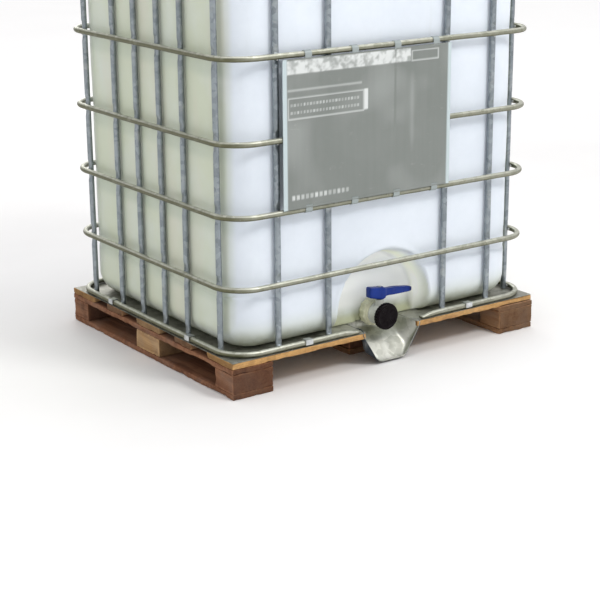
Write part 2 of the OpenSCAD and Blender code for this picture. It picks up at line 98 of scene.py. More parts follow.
class Builder:
    """Gathers parts of one mesh."""

    def __init__(self):
        self.verts, self.faces = [], []

    def add(self, verts, faces):
        start = len(self.verts)
        self.verts += [tuple(v) for v in verts]
        self.faces += [tuple(i + start for i in f) for f in faces]

    def grid(self, points, close_rows=False, close_cols=False, flip=False, caps=False):
        """points: an array of rows x columns x 3."""
        rows, cols = points.shape[:2]
        faces = grid_faces(rows, cols, close_rows, close_cols, flip)
        if caps:
            first, last = list(range(cols)), [(rows - 1) * cols + j for j in range(cols)]
            faces += [first[::-1] if not flip else first, last if not flip else last[::-1]]
        self.add(points.reshape(-1, 3), faces)

    def sheet(self, front, back, flip=False):
        """Two grids of points, front and back, joined along their border."""
        start, (rows, cols) = len(self.verts), front.shape[:2]
        self.grid(front, flip=flip)
        self.grid(back, flip=not flip)
        border = ([(0, j) for j in range(cols)] + [(i, cols - 1) for i in range(1, rows)]
                  + [(rows - 1, j) for j in range(cols - 2, -1, -1)] + [(i, 0) for i in range(rows - 2, 0, -1)])
        for (i, j), (i2, j2) in zip(border, border[1:] + border[:1]):
            a, c = start + i * cols + j, start + i2 * cols + j2
            self.faces.append((a, a + rows * cols, c + rows * cols, c))

    def ellipsoid(self, centre, radii, turns=8, rings=6):
        lat = np.linspace(-math.pi / 2, math.pi / 2, rings + 1)[1:-1]
        lon = np.linspace(0, 2 * math.pi, turns, endpoint=False)
        points = np.array([[[math.cos(a) * math.cos(b), math.cos(a) * math.sin(b), math.sin(a)]
                            for b in lon] for a in lat])
        points = points * np.array(radii) + np.array(centre)
        start = len(self.verts)
        self.grid(points, close_cols=True)
        self.verts += [tuple(np.array(centre) - [0, 0, radii[2]]), tuple(np.array(centre) + [0, 0, radii[2]])]
        low, high = start + (rings - 1) * turns, start + (rings - 1) * turns + 1
        for j in range(turns):
            k = (j + 1) % turns
            self.faces.append((low, start + k, start + j))
            top = start + (rings - 2) * turns
            self.faces.append((high, top + j, top + k))

    def piece(self, name, **kw):
        return new_piece(name, self.verts, self.faces, **kw)


def ribbed(first, last, depth, count, flat, fall):
    """A ripple for revolve: count ribs round the profile's points first to last, with valleys of depth."""
    def scale(angle, i):
        if not first <= i <= last:
            return 1.0
        return 1.0 - depth * (1 - hump((angle * count / (2 * math.pi)) % 1.0, 0.5, flat, fall))
    return scale


def revolve(builder, profile, centre, axis="y", steps=96, ripple=None):
    """Spins (distance along the axis, radius) points round an axis through centre. ripple scales the radii."""
    angles = np.linspace(0, 2 * math.pi, steps, endpoint=False)
    rows = []
    for i, (along, radius) in enumerate(profile):
        row = []
        for a in angles:
            r = radius * (ripple(a, i) if ripple else 1.0)
            if axis == "y":
                row.append((centre[0] + r * math.cos(a), along, centre[2] + r * math.sin(a)))
            else:
                row.append((centre[0] + r * math.cos(a), centre[1] + r * math.sin(a), along))
        rows.append(row)
    builder.grid(np.array(rows), close_cols=True, flip=(axis == "z"))


def sweep(builder, path, side, up, radius_side, radius_up, closed=False):
    """A tube along path. side and up are unit vectors per point; the radii are arrays of points x sides."""
    angles = np.linspace(0, 2 * math.pi, radius_side.shape[1], endpoint=False)
    cos, sin = np.cos(angles), np.sin(angles)
    points = (path[:, None, :] + side[:, None, :] * (radius_side * cos)[:, :, None]
              + up[:, None, :] * (radius_up * sin)[:, :, None])
    builder.grid(points, close_rows=closed, close_cols=True, caps=not closed)


def add_modifier(piece, kind, **settings):
    modifier = piece.modifiers.new(kind.lower(), kind)
    for key, value in settings.items():
        setattr(modifier, key, value)


def box_lines(low, high, step, edge):
    """Grid lines from low to high, with two more close to each end for its rounding."""
    count = max(1, round((high - low - 2 * edge) / step))
    middle = np.linspace(low + edge, high - edge, count + 1)
    return np.concatenate([[low, low + 0.35 * edge], middle, [high - 0.35 * edge, high]])


def rounded_block(low, high, steps, edge):
    """A closed box mesh with fine grid lines and rounded edges, as (verts, faces)."""
    lines = [box_lines(low[k], high[k], steps[k], edge) for k in range(3)]
    n = [len(l) for l in lines]
    index, verts, faces = {}, [], []

    def vert(i, j, k):
        key = (i, j, k)
        if key not in index:
            index[key] = len(verts)
            verts.append((lines[0][i], lines[1][j], lines[2][k]))
        return index[key]

    for axis in range(3):
        u, v = (axis + 1) % 3, (axis + 2) % 3
        for end in (0, n[axis] - 1):
            for a in range(n[u] - 1):
                for b in range(n[v] - 1):
                    quad = []
                    for da, db in ((0, 0), (1, 0), (1, 1), (0, 1)):
                        key = [0, 0, 0]
                        key[axis], key[u], key[v] = end, a + da, b + db
                        quad.append(vert(*key))
                    faces.append(quad if end else quad[::-1])
    verts = np.array(verts)
    inner = np.clip(verts, np.array(low) + edge, np.array(high) - edge)
    out = verts - inner
    length = np.linalg.norm(out, axis=1, keepdims=True)
    corner = (np.abs(out) > 1e-9).sum(axis=1, keepdims=True) > 1
    verts = np.where(corner, inner + out / np.maximum(length, 1e-9) * edge, verts)
    return verts, faces


# ---- materials ----


class Graph:
    """A material and short calls for its nodes."""

    def __init__(self, name):
        self.mat = bpy.data.materials.new(name)
        self.mat.use_nodes = True
        self.tree = self.mat.node_tree
        self.shader = self.tree.nodes["Principled BSDF"]
        self.place = self.node("ShaderNodeTexCoord").outputs["Object"]

    def put(self, socket, value):
        if isinstance(value, bpy.types.NodeSocket):
            self.tree.links.new(value, socket)
        elif isinstance(value, (tuple, list)) and len(value) == 3 and socket.type == "RGBA":
            socket.default_value = (*value, 1)
        else:
            socket.default_value = value

    def node(self, kind, settings=None, **inputs):
        made = self.tree.nodes.new(kind)
        for key, value in (settings or {}).items():
            setattr(made, key, value)
        for key, value in inputs.items():
            self.put(made.inputs[int(key[1:]) if key[0] == "i" and key[1:].isdigit() else key], value)
        return made

    def set(self, **inputs):
        for key, value in inputs.items():
            self.put(self.shader.inputs[key.replace("_", " ")], value)

    def stretched(self, x, y, z):
        return self.node("ShaderNodeMapping", Vector=self.place, Scale=(x, y, z)).outputs[0]

    def noise(self, scale, detail=4, rough=0.55, vector=None, warp=0.0):
        made = self.node("ShaderNodeTexNoise", Vector=vector or self.place, Scale=scale, Detail=detail,
                         Roughness=rough, Distortion=warp)
        return made.outputs["Fac"]

    def cells(self, scale, feature="F1", out="Distance", vector=None):
        made = self.node("ShaderNodeTexVoronoi", {"feature": feature}, Vector=vector or self.place,
                         Scale=scale)
        return made.outputs[out]

    def ramp(self, value, *stops):
        """stops: (place, colour or grey)."""
        made = self.node("ShaderNodeValToRGB", Fac=value)
        points = made.color_ramp.elements
        while len(points) < len(stops):
            points.new(0.5)
        for point, (at, colour) in zip(points, stops):
            point.position = at
            point.color = (*colour, 1) if isinstance(colour, tuple) else (colour, colour, colour, 1)
        return made.outputs["Color"]

    def math(self, operation, a, b=0.0):
        return self.node("ShaderNodeMath", {"operation": operation}, i0=a, i1=b).outputs[0]

    def times(self, a, b):
        return self.math("MULTIPLY", a, b)

    def plus(self, a, b):
        return self.math("ADD", a, b)

    def larger(self, a, b):
        return self.math("MAXIMUM", a, b)

    def size(self, a):
        return self.math("ABSOLUTE", a)

    def mix(self, factor, a, b):
        made = self.node("ShaderNodeMix", {"data_type": "RGBA"})
        self.put(made.inputs[0], factor)
        self.put(made.inputs[6], a)
        self.put(made.inputs[7], b)
        return made.outputs[2]

    def span(self, value, a, b, low=0.0, high=1.0):
        """Maps a..b to low..high, clamped and smooth."""
        made = self.node("ShaderNodeMapRange", {"interpolation_type": "SMOOTHSTEP"})
        for socket, number in zip(made.inputs[:5], (value, a, b, low, high)):
            self.put(socket, number)
        return made.outputs[0]

    def axis(self, which, vector=None):
        return self.node("ShaderNodeSeparateXYZ", Vector=vector or self.place).outputs[which]

    def facing(self, which):
        """How far the surface faces along an axis of the object."""
        normal = self.node("ShaderNodeTexCoord").outputs["Normal"]
        return self.axis(which, normal)

    def attribute(self, name):
        return self.node("ShaderNodeAttribute", {"attribute_name": name}).outputs["Fac"]

    def bump(self, *layers):
        """layers: (height, strength, distance in metres)."""
        normal = None
        for height, strength, distance in layers:
            made = self.node("ShaderNodeBump", Height=height, Strength=strength, Distance=distance)
            if normal:
                self.put(made.inputs["Normal"], normal)
            normal = made.outputs[0]
        self.set(Normal=normal)


def galvanised(name, light, dark, rough=0.42, spangle=70.0, dirt_and_shade=(0.20, 0.19, 0.13), dirt_and_shade_amount=0.5,
               painted_shade_colour=None):
    """Zinc-coated steel: crystals, streaks, matt grey patches, speckled stains and painted shade on what faces down;
    given a shade colour, more painted shade below and on the ends facing X.
    """
    g = Graph(name)
    crystals = g.cells(spangle, out="Color")
    grain = g.plus(g.times(g.node("ShaderNodeSeparateXYZ", Vector=crystals).outputs[0], 0.55),
                   g.times(g.noise(1, 5, 0.6, g.stretched(6, 6, 1.2)), 0.6))
    colour = g.ramp(grain, (0.2, dark), (0.85, light))
    patches = g.span(g.noise(14, 6, 0.65, warp=0.6), 0.52, 0.72)
    colour = g.mix(g.times(patches, 0.35), colour, (0.62, 0.63, 0.61))
    # Painted shade: what faces down is darkened, in the same colour as the speckled stains.
    down = g.span(g.facing(2), 0.15, -0.9)
    dirt_and_shade_mask = g.times(g.larger(down, g.span(g.noise(31, 5, 0.7), 0.6, 0.78)), dirt_and_shade_amount)
    colour = g.mix(dirt_and_shade_mask, colour, dirt_and_shade)
    # Painted shade: what doesn't face up, most of all the ends facing X, darkens towards dark olive.
    if painted_shade_colour:
        below = g.span(g.facing(2), 0.80, 0.25)
        end_side = g.span(g.size(g.facing(0)), 0.25, 0.8)
        painted_shade = g.times(below, g.plus(g.times(end_side, 0.38), 0.58))
        colour = g.mix(g.times(painted_shade, g.span(g.noise(20, 3), 0.2, 0.5, 0.75, 1.0)), colour, painted_shade_colour)
    g.set(Base_Color=colour, Metallic=0.85,
          Roughness=g.plus(g.times(g.noise(40, 4), 0.22), rough - 0.1))
    g.bump((g.noise(420, 3), 0.10, 0.0004), (g.noise(9, 2), 0.15, 0.002))
    return g.mat


def wood(name, along, light, mid, dark, grey=0.35, end_dark=0.55):
    """Rough-sawn softwood with its grain along X (0) or Y (1)."""
    g = Graph(name)
    thin = [34.0, 34.0, 34.0]
    thin[along] = 1.6
    fine = [260.0, 260.0, 260.0]
    fine[along] = 9.0
    warped = g.node("ShaderNodeVectorMath", {"operation": "ADD"})
    g.put(warped.inputs[0], g.stretched(*thin))
    scaled = g.node("ShaderNodeVectorMath", {"operation": "SCALE"})
    g.put(scaled.inputs[0], g.node("ShaderNodeTexNoise", Vector=g.place, Scale=5.0).outputs["Color"])
    g.put(scaled.inputs["Scale"], 1.6)
    g.put(warped.inputs[1], scaled.outputs[0])
    bands = g.noise(1.0, 5, 0.62, warped.outputs[0], 0.4)
    fibre = g.noise(1.0, 3, 0.6, g.stretched(*fine))
    grain = g.plus(g.times(bands, 0.75), g.times(fibre, 0.3))
    colour = g.ramp(grain, (0.30, dark), (0.47, mid), (0.62, light), (0.80, mid))
    knot_scale = [11.0, 11.0, 11.0]
    knot_scale[along] = 3.6
    knots = g.cells(1.0, vector=g.stretched(*knot_scale))
    colour = g.mix(g.span(knots, 0.16, 0.05, 0, 0.85), colour, tuple(0.35 * c for c in dark))
    colour = g.mix(g.times(g.span(g.noise(4.5, 6, 0.7, warp=1.0), 0.45, 0.7), grey), colour,
                   (0.30, 0.27, 0.235))
    stain = g.span(g.noise(11, 5, 0.7), 0.56, 0.74)
    colour = g.mix(g.times(stain, 0.6), colour, tuple(0.3 * c for c in dark))
    edge = g.attribute("edge")
    scuffed = g.times(edge, g.span(g.noise(55, 4, 0.7), 0.42, 0.62))
    colour = g.mix(g.times(scuffed, 0.55), colour, tuple(min(1.0, 1.35 * c) for c in light))
    ends = g.span(g.size(g.facing(along)), 0.6, 0.9)
    rings = g.noise(1.0, 4, 0.6, g.stretched(80, 80, 80), 2.0)
    dark_end, mid_end = (tuple(end_dark * c for c in shade) for shade in (dark, mid))
    end_colour = g.ramp(rings, (0.3, dark_end), (0.7, mid_end))
    colour = g.mix(g.times(ends, 0.7), colour, end_colour)
    g.set(Base_Color=colour, Roughness=0.86, Specular_IOR_Level=0.25)
    g.bump((grain, 0.55, 0.0025), (fibre, 0.5, 0.0008))
    return g.mat


def moulded(name, base, rough, mottle, dust, dust_colour=(0.5, 0.5, 0.48), specular=0.5):
    """Injection-moulded plastic: fine texture, faint mottling, dust on top faces and scuffs."""
    g = Graph(name)
    soft = g.noise(24, 5, 0.6)
    colour = g.mix(g.times(g.span(soft, 0.35, 0.7), mottle), base,
                   tuple(min(1.0, c * 1.6 + 0.03) for c in base))
    up = g.times(g.span(g.facing(2), 0.4, 1.0), g.span(g.noise(60, 5, 0.7), 0.35, 0.7))
    scuffs = g.span(g.noise(1.0, 5, 0.75, g.stretched(90, 90, 260), 0.8), 0.62, 0.75)
    wear = g.larger(g.times(up, dust), g.times(scuffs, dust * 0.7))
    colour = g.mix(wear, colour, dust_colour)
    g.set(Base_Color=colour, Roughness=g.plus(g.times(g.noise(70, 4), 0.2), rough - 0.08),
          Specular_IOR_Level=specular)
    g.bump((g.noise(900, 2), 0.12, 0.0003), (scuffs, 0.3, 0.0003))
    return g.mat


def rubber(name, base):
    g = Graph(name)
    colour = g.mix(g.span(g.noise(80, 5, 0.7), 0.4, 0.7, 0, 0.4), base, (0.25, 0.24, 0.23))
    g.set(Base_Color=colour, Roughness=0.8)
    g.bump((g.noise(700, 3), 0.3, 0.0003))
    return g.mat


def tank_plastic():
    """Blow-moulded natural polyethylene: milky, a little yellow-green at the corners of the +X end and low down,
    where the wall is thicker, with painted shade on its end faces, painted shadows under the rings, painted light,
    shade and glow in the valve recess, and a darker band at the foot that is painted shade with some staining.
    """
    g = Graph("tank_milky")
    x, y, z = (g.axis(k) for k in range(3))
    cloudy = g.noise(2.2, 5, 0.55)
    fine = g.noise(26, 4, 0.6)
    colour = g.ramp(g.plus(g.times(cloudy, 0.8), g.times(fine, 0.2)),
                    (0.3, (0.68, 0.74, 0.81)), (0.6, (0.77, 0.83, 0.90)))
    # Yellow-green for the thicker corners and low band, and for the painted shade of the end faces.
    thick_and_shade_green = (0.58, 0.63, 0.45)
    corner = g.times(g.span(x, 0.50, 0.57), g.span(g.size(y), 0.33, 0.44))
    low = g.span(z, 0.235, 0.12)
    tint = g.larger(g.times(corner, 0.45), g.times(low, 0.75))
    # Painted shade: faces turned along X, the tank's ends, take the darker yellow-green.
    side = g.times(g.span(g.size(g.facing(0)), 0.72, 0.99), 0.85)
    tint = g.larger(tint, side)
    tint = g.times(tint, g.span(g.noise(5, 4, 0.6), 0.2, 0.65, 0.7, 1.0))
    colour = g.mix(tint, colour, thick_and_shade_green)
    # Darker olive towards the foot: painted shade and reflection from the pallet near the tray, with some real
    # staining.
    dirt_and_shade = g.times(g.span(z, 0.20, 0.117), g.span(g.noise(18, 6, 0.7), 0.35, 0.65, 0.25, 1))
    colour = g.mix(g.times(dirt_and_shade, 0.5), colour, (0.34, 0.33, 0.20))
    # Painted light: the shaded recess is lifted to near white.
    in_recess = g.times(g.attribute("recess"), g.span(z, 0.14, 0.18, 0.0, 0.85))
    colour = g.mix(in_recess, colour, (0.93, 0.945, 0.92))
    # Painted light and shade on the recess walls: the lit right wall near white, the left wall olive, and what faces
    # down in the arch yellow-green.
    lit_wall = g.span(x, 0.03, 0.10)
    hollow = g.mix(lit_wall, (0.62, 0.64, 0.36), (0.93, 0.93, 0.90))
    hollow = g.mix(g.span(g.facing(2), -0.25, -0.6), hollow, (0.74, 0.76, 0.44))
    colour = g.mix(g.attribute("hollow"), colour, hollow)
    # Painted shade: the recess darkens to olive near its floor.
    colour = g.mix(g.times(g.attribute("recess"), g.span(z, 0.150, 0.128, 0.0, 0.7)), colour,
                   (0.40, 0.42, 0.24))
    # Painted glow: the lit recess wall and the recess give off a little light.
    glow = g.times(g.attribute("hollow"), lit_wall)
    glow = g.plus(g.times(glow, 0.30), g.times(in_recess, 0.07))
    g.set(Emission_Color=(0.86, 0.92, 0.90), Emission_Strength=glow)
    blush = g.times(side, g.span(g.noise(1.0, 3, 0.5, g.stretched(9, 7, 1.5)), 0.45, 0.7))
    colour = g.mix(g.times(blush, 0.45), colour, (0.66, 0.62, 0.52))
    # Painted shadows: a soft band under each ring on upright faces, greenish on the end faces and blue-grey all
    # round.
    ring_shadows = None
    for z_ring in RING_Z.values():
        band = g.times(g.span(z, z_ring - 0.075, z_ring - 0.045),
                       g.span(z, z_ring - 0.008, z_ring - 0.030))
        ring_shadows = g.larger(ring_shadows, band) if ring_shadows else band
    ring_shadows = g.times(ring_shadows, g.span(g.noise(6, 3), 0.3, 0.6, 0.5, 1.0))
    flat = g.span(g.size(g.facing(2)), 0.5, 0.2)
    ring_shadows = g.times(ring_shadows, flat)
    colour = g.mix(g.times(ring_shadows, g.times(side, 0.5)), colour, (0.47, 0.54, 0.36))
    colour = g.mix(g.times(ring_shadows, 0.16), colour, (0.42, 0.50, 0.58))
    streaks = g.span(g.noise(1.0, 5, 0.65, g.stretched(16, 16, 1.3)), 0.56, 0.74)
    colour = g.mix(g.times(streaks, 0.10), colour, (0.5, 0.52, 0.46))
    g.set(Base_Color=colour, Roughness=g.plus(g.times(fine, 0.18), 0.30), Specular_IOR_Level=0.45,
          Subsurface_Weight=0.12, Subsurface_Radius=(0.02, 0.022, 0.02), Subsurface_Scale=1.0)
    g.bump((g.noise(7, 3), 0.25, 0.006), (g.noise(120, 3), 0.08, 0.0008))
    return g.mat


def plain_metal(name, base, rough=0.45, rust=0.3):
    g = Graph(name)
    spots = g.times(g.span(g.noise(150, 5, 0.7), 0.5, 0.68), rust)
    colour = g.mix(spots, g.mix(g.noise(60, 4), base, tuple(0.7 * c for c in base)), (0.19, 0.085, 0.035))
    g.set(Base_Color=colour, Metallic=g.math("SUBTRACT", 0.9, g.times(spots, 0.7)),
          Roughness=g.plus(g.times(spots, 0.3), rough))
    g.bump((g.noise(500, 3), 0.2, 0.0003))
    return g.mat


# The rings carry the strongest painted shade underneath and on their ends.
RING = galvanised("ring_zinc", (0.66, 0.67, 0.58), (0.42, 0.43, 0.35), dirt_and_shade=(0.10, 0.095, 0.05),
                  dirt_and_shade_amount=0.9, painted_shade_colour=(0.125, 0.125, 0.070))
UPRIGHT = galvanised("upright_zinc", (0.34, 0.38, 0.41), (0.20, 0.23, 0.25), dirt_and_shade_amount=0.3)
SHEET = galvanised("sheet_zinc", (0.46, 0.46, 0.41), (0.27, 0.27, 0.23), rough=0.5, spangle=45,
                   dirt_and_shade_amount=0.5)
LIP = galvanised("lip_zinc", (0.63, 0.635, 0.58), (0.40, 0.41, 0.36), rough=0.46, spangle=55,
                 dirt_and_shade_amount=0.35)
# Painted shade: a very dark blue-grey copy of the lip's zinc, for the back of the lip sheet.
LIP_BACK_SHADED = galvanised("lip_back_painted_shade", (0.085, 0.105, 0.13), (0.045, 0.058, 0.075), rough=0.6, spangle=55,
                      dirt_and_shade=(0.03, 0.03, 0.025))
CLAMP = galvanised("clamp_zinc", (0.66, 0.68, 0.68), (0.45, 0.47, 0.47), rough=0.3, spangle=90,
                   dirt_and_shade_amount=0.3)
WELD = galvanised("weld_zinc", (0.75, 0.76, 0.74), (0.45, 0.46, 0.45), rough=0.3, spangle=160,
                  dirt_and_shade_amount=0.25)
NUT = moulded("nut_milky", (0.62, 0.62, 0.45), 0.38, 0.3, 0.2)
BODY = moulded("valve_milky", (0.55, 0.57, 0.52), 0.38, 0.3, 0.2)
CAP = moulded("cap_black", (0.0035, 0.0015, 0.0025), 0.36, 0.03, 0.02, (0.03, 0.015, 0.02), specular=0.09)
LID = moulded("lid_black", (0.020, 0.021, 0.024), 0.42, 0.5, 0.28, (0.22, 0.21, 0.19))
PLUG = moulded("plug_black", (0.030, 0.030, 0.033), 0.42, 0.5, 0.28, (0.22, 0.21, 0.19))
SEAL = rubber("seal_dark", (0.022, 0.022, 0.024))
RED_SEAL = rubber("seal_red", (0.24, 0.03, 0.02))
FASTENER = plain_metal("fastener_zinc", (0.55, 0.56, 0.57), 0.34, 0.25)
NAIL = plain_metal("nail_steel", (0.20, 0.18, 0.16), 0.5, 0.8)

# ---- places, from the CAD ----


def size_of(node):
    low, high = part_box(node)
    return np.array(low), np.array(high)


def fit_out(piece, node, material, body="container"):
    """Gives a finished piece its material and its body and, if it stands for a CAD node, hides that node."""
    piece.data.materials.append(material)
    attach(piece, body)
    if node:
        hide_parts(node)


def dress(node, material, bevel=0.0):
    """A CAD node that stays, with a better material and rounded edges."""
    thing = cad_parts[node]
    thing.data.materials.clear()
    thing.data.materials.append(material)
    if bevel:
        add_modifier(thing, "BEVEL", width=bevel, segments=2, limit_method="ANGLE",
                     angle_limit=math.radians(40), harden_normals=False)


RINGS = ["ring_bottom", "ring_first", "ring_second", "ring_third", "ring_fourth", "ring_top"]
ring_boxes = {name: size_of(name) for name in RINGS}
RING_Z = {name: (low[2] + high[2]) / 2 for name, (low, high) in ring_boxes.items()}
TUBE_R = (ring_boxes["ring_first"][1][2] - ring_boxes["ring_first"][0][2]) / 2
RING_X = ring_boxes["ring_first"][1][0] - TUBE_R
RING_Y = ring_boxes["ring_first"][1][1] - TUBE_R
RING_R = 0.100  # corner radius of the cage
LONG = [-0.415, -0.228, 0.228, 0.415]  # uprights along the valve side and the back
SHORT = [-0.388, -0.204, -0.069, 0.069, 0.204, 0.388]  # uprights along the two ends
VALVE_GAP = 0.125  # half of the bottom ring's gap at the valve
UP_X = size_of("uprights_right")[1][0] - TUBE_R
UP_Y = size_of("uprights_rear")[1][1] - TUBE_R
UPRIGHT_HALF = 0.0098  # half width of an upright along its wall
CROSSINGS = [(x, s * RING_Y, 0, s) for x in LONG for s in (-1, 1)]  # x, y and the way out
CROSSINGS += [(s * RING_X, y, s, 0) for y in SHORT for s in (-1, 1)]
SIDES = 16  # points round a tube
AROUND = np.linspace(0, 2 * math.pi, SIDES, endpoint=False)

# ---- cage rings ----


def ring_path(step=0.011):
    """Points and outward normals of a ring's centre line, starting at the front's middle."""
    points, normals = [], []
    straight_x, straight_y = RING_X - RING_R, RING_Y - RING_R

    def line(a, b, normal):
        count = max(2, int(np.linalg.norm(np.subtract(b, a)) / step))
        for t in np.linspace(0, 1, count, endpoint=False):
            points.append(np.add(a, t * np.subtract(b, a)))
            normals.append(normal)

    def corner(centre, start):
        for a in np.linspace(start, start + 90, 16, endpoint=False):
            n = np.array([math.cos(math.radians(a)), math.sin(math.radians(a))])
            points.append(np.add(centre, n * RING_R))
            normals.append(n)

    line((0, -RING_Y), (straight_x, -RING_Y), (0, -1))
    corner((straight_x, -straight_y), -90)
    line((RING_X, -straight_y), (RING_X, straight_y), (1, 0))
    corner((straight_x, straight_y), 0)
    line((straight_x, RING_Y), (-straight_x, RING_Y), (0, 1))
    corner((-straight_x, straight_y), 90)
    line((-RING_X, straight_y), (-RING_X, -straight_y), (-1, 0))
    corner((-straight_x, -straight_y), 180)
    line((-straight_x, -RING_Y), (0, -RING_Y), (0, -1))
    return np.array(points, float), np.array(normals, float)


def crossing_nearness(points, reach):
    """1 where a ring point lies at an upright, falling to 0 at reach."""
    away = np.min([np.hypot(points[:, 0] - x, points[:, 1] - y) for x, y, _, _ in CROSSINGS], axis=0)
    return 1 - ramp01(away, 0, reach)


def ring_piece(name, gap=0.0):
    """A bent tube, a little out of true and pressed flat inside at each upright. With a gap its ends are pinched."""
    out_of_true, pressed, end_drop, end_pinch = 0.0006, 0.0016, 0.0045, 0.55
    points, normals = ring_path()
    if gap:
        keep = ~((np.abs(points[:, 0]) < gap) & (points[:, 1] < 0))
        first = int(np.argmax(keep & ~np.roll(keep, 1)))
        order = [(first + i) % len(points) for i in range(len(points)) if keep[(first + i) % len(points)]]
        points = np.vstack([(gap, -RING_Y), points[order], (-gap, -RING_Y)])
        normals = np.vstack([(0, -1), normals[order], (0, -1)])
    n = len(points)
    path = np.column_stack([points, np.full(n, RING_Z[name])])
    seed = 3.1 * RINGS.index(name)
    path[:, :2] += normals * (fractal(path, 7.0, 2, seed) * out_of_true - out_of_true)[:, None]
    path[:, 2] += fractal(path, 5.0, 2, seed + 9) * 0.0007
    near = crossing_nearness(points, 0.024)[:, None]
    inward = np.clip(-np.cos(AROUND), 0, 1)[None, :]
    flat = np.full((n, SIDES), TUBE_R - 0.0002)
    side_r = flat - pressed * near * inward
    up_r = flat + 0.0002 * near
    if gap:
        from_end = np.minimum(np.arange(n), n - 1 - np.arange(n))
        up_r = up_r * (1 - end_pinch * (1 - ramp01(from_end, 0, 4))[:, None])
        path[:, 2] -= end_drop * (1 - ramp01(from_end, 0, 7))
    b = Builder()
    side = np.column_stack([normals, np.zeros(n)])
    sweep(b, path, side, np.tile([0.0, 0.0, 1.0], (n, 1)), side_r, up_r, closed=not gap)
    fit_out(b.piece("tube_" + name), name, RING)


for ring_name in RINGS:
    ring_piece(ring_name, VALVE_GAP if ring_name == "ring_bottom" else 0.0)

# ---- cage uprights and their welds ----


def upright_profile(z):
    """How far the front of an upright is pressed in: pockets above and below each ring, 0 to 1."""
    depth = np.zeros_like(z)
    for zr in RING_Z.values():
        s = np.abs(z - zr)
        depth = np.maximum(depth, ramp01(s, 0.0035, 0.0095) * (1 - ramp01(s, 0.019, 0.036)))
    return depth


def upright_levels(low, high):
    """Heights for an upright's points, closer together by each ring."""
    levels = set(np.round(np.linspace(low, high, 44), 5))
    for zr in RING_Z.values():
        for s in (0, 4, 7, 10, 13, 16, 19, 23, 27, 31, 36):
            levels |= {round(z, 5) for z in (zr - s * MM, zr + s * MM) if low < z < high}
    return np.array(sorted(levels))


def uprights_piece(node, places, out):
    """A row of tubes, each leaning a little, with pockets pressed into its outer side and a spread foot."""
    leaning, pocket, swelling, foot_spread = 0.0008, 0.0052, 0.0008, 0.0012
    low, high = size_of(node)
    z = upright_levels(low[2], high[2])
    n = len(z)
    out = np.array(out, float)
    across = np.array([-out[1], out[0], 0.0])
    depth = upright_profile(z)[:, None]
    side_r = np.full((n, SIDES), TUBE_R) - pocket * depth * np.clip(np.cos(AROUND), 0, 1)[None, :]
    foot = 1 - ramp01(z - low[2], 0.0, 0.012)
    up_r = np.full((n, SIDES), UPRIGHT_HALF) + swelling * depth + foot_spread * foot[:, None]
    b = Builder()
    for i, (x, y) in enumerate(places):
        path = np.column_stack([np.full(n, x), np.full(n, y), z])
        lean = fractal(path, 3.0, 2, 5.0 * i + 11 * out[0] + 7 * out[1]) * leaning
        path += across[None, :] * lean[:, None]
        sweep(b, path, np.tile(out, (n, 1)), np.tile(across, (n, 1)), side_r, up_r)
    fit_out(b.piece("tubes_" + node), node, UPRIGHT)


uprights_piece("uprights_front", [(x, -UP_Y) for x in LONG], (0, -1, 0))
uprights_piece("uprights_rear", [(x, UP_Y) for x in LONG], (0, 1, 0))
uprights_piece("uprights_left", [(-UP_X, y) for y in SHORT], (-1, 0, 0))
uprights_piece("uprights_right", [(UP_X, y) for y in SHORT], (1, 0, 0))


def weld_piece():
    """Weld nuggets between each ring and upright, with a splash just below."""
    b = Builder()
    rng = np.random.default_rng(7)
    for name, z in RING_Z.items():
        for x, y, ox, oy in CROSSINGS:
            inner = np.array([x - ox * TUBE_R, y - oy * TUBE_R, z])
            along = np.array([-oy, ox, 0.0])
            for side in (-1, 1):
                wide = 0.0045 + 0.001 * rng.random()
                centre = inner + along * side * 0.0045 + [0, 0, side * 0.0015]
                b.ellipsoid(centre, (0.0028 + abs(along[0]) * wide, 0.0028 + abs(along[1]) * wide, 0.0040))
            drop = 0.0085 + 0.0015 * rng.random()
            centre = inner - np.array([ox, oy, 0]) * 0.0012 + along * (rng.random() - 0.5) * 0.004
            if name != "ring_bottom":
                b.ellipsoid(centre - [0, 0, drop], (0.0042, 0.0042, 0.0052))
    fit_out(b.piece("cage_welds"), None, WELD)


weld_piece()

# ---- crossbars over the tank ----


def crossbar_piece(node):
    """A tube over the tank whose ends are pressed flat, rounded and bolted to the top ring."""
    low, high = size_of(node)
    tab_t, tab_half, flat_from, flat_to = 0.003, 0.014, 0.466, 0.444
    bar_z, tab_z, reach = low[2] + TUBE_R, high[2] - tab_t / 2, high[1]
    half_y = np.concatenate([np.linspace(flat_to, flat_from - 0.003, 7),
                             np.linspace(flat_from, reach - 0.012, 3), [reach - 0.003, reach]])
    y = np.concatenate([-half_y[::-1], np.linspace(-0.43, 0.43, 40), half_y])
    n = len(y)
    flat = ramp01(np.abs(y), flat_to, flat_from)
    path = np.column_stack([np.full(n, (low[0] + high[0]) / 2), y, bar_z + flat * (tab_z - bar_z)])
    path[:, 2] += fractal(path, 4.0, 2, 3.0) * 0.0005 * (1 - flat)
    angles = np.linspace(0, 2 * math.pi, 24, endpoint=False)
    round_end = np.sqrt(np.clip(1 - (np.clip(np.abs(y) - (reach - 0.010), 0, 0.010) / 0.0125) ** 2, 0.1, 1))
    wide = (TUBE_R + flat * (tab_half - TUBE_R)) * round_end
    tall = TUBE_R + flat * (tab_t / 2 - TUBE_R)
    power = 1 - 0.65 * flat[:, None]
    cos, sin = np.cos(angles)[None, :], np.sin(angles)[None, :]
    px = np.sign(cos) * np.abs(cos) ** power * wide[:, None]
    pz = np.sign(sin) * np.abs(sin) ** power * tall[:, None]
    b = Builder()
    section = np.stack([px, np.zeros_like(px), pz], axis=2)
    b.grid(path[:, None, :] + section, close_cols=True, caps=True, flip=True)
    fit_out(b.piece("bar_" + node, sharp=50), node, RING)


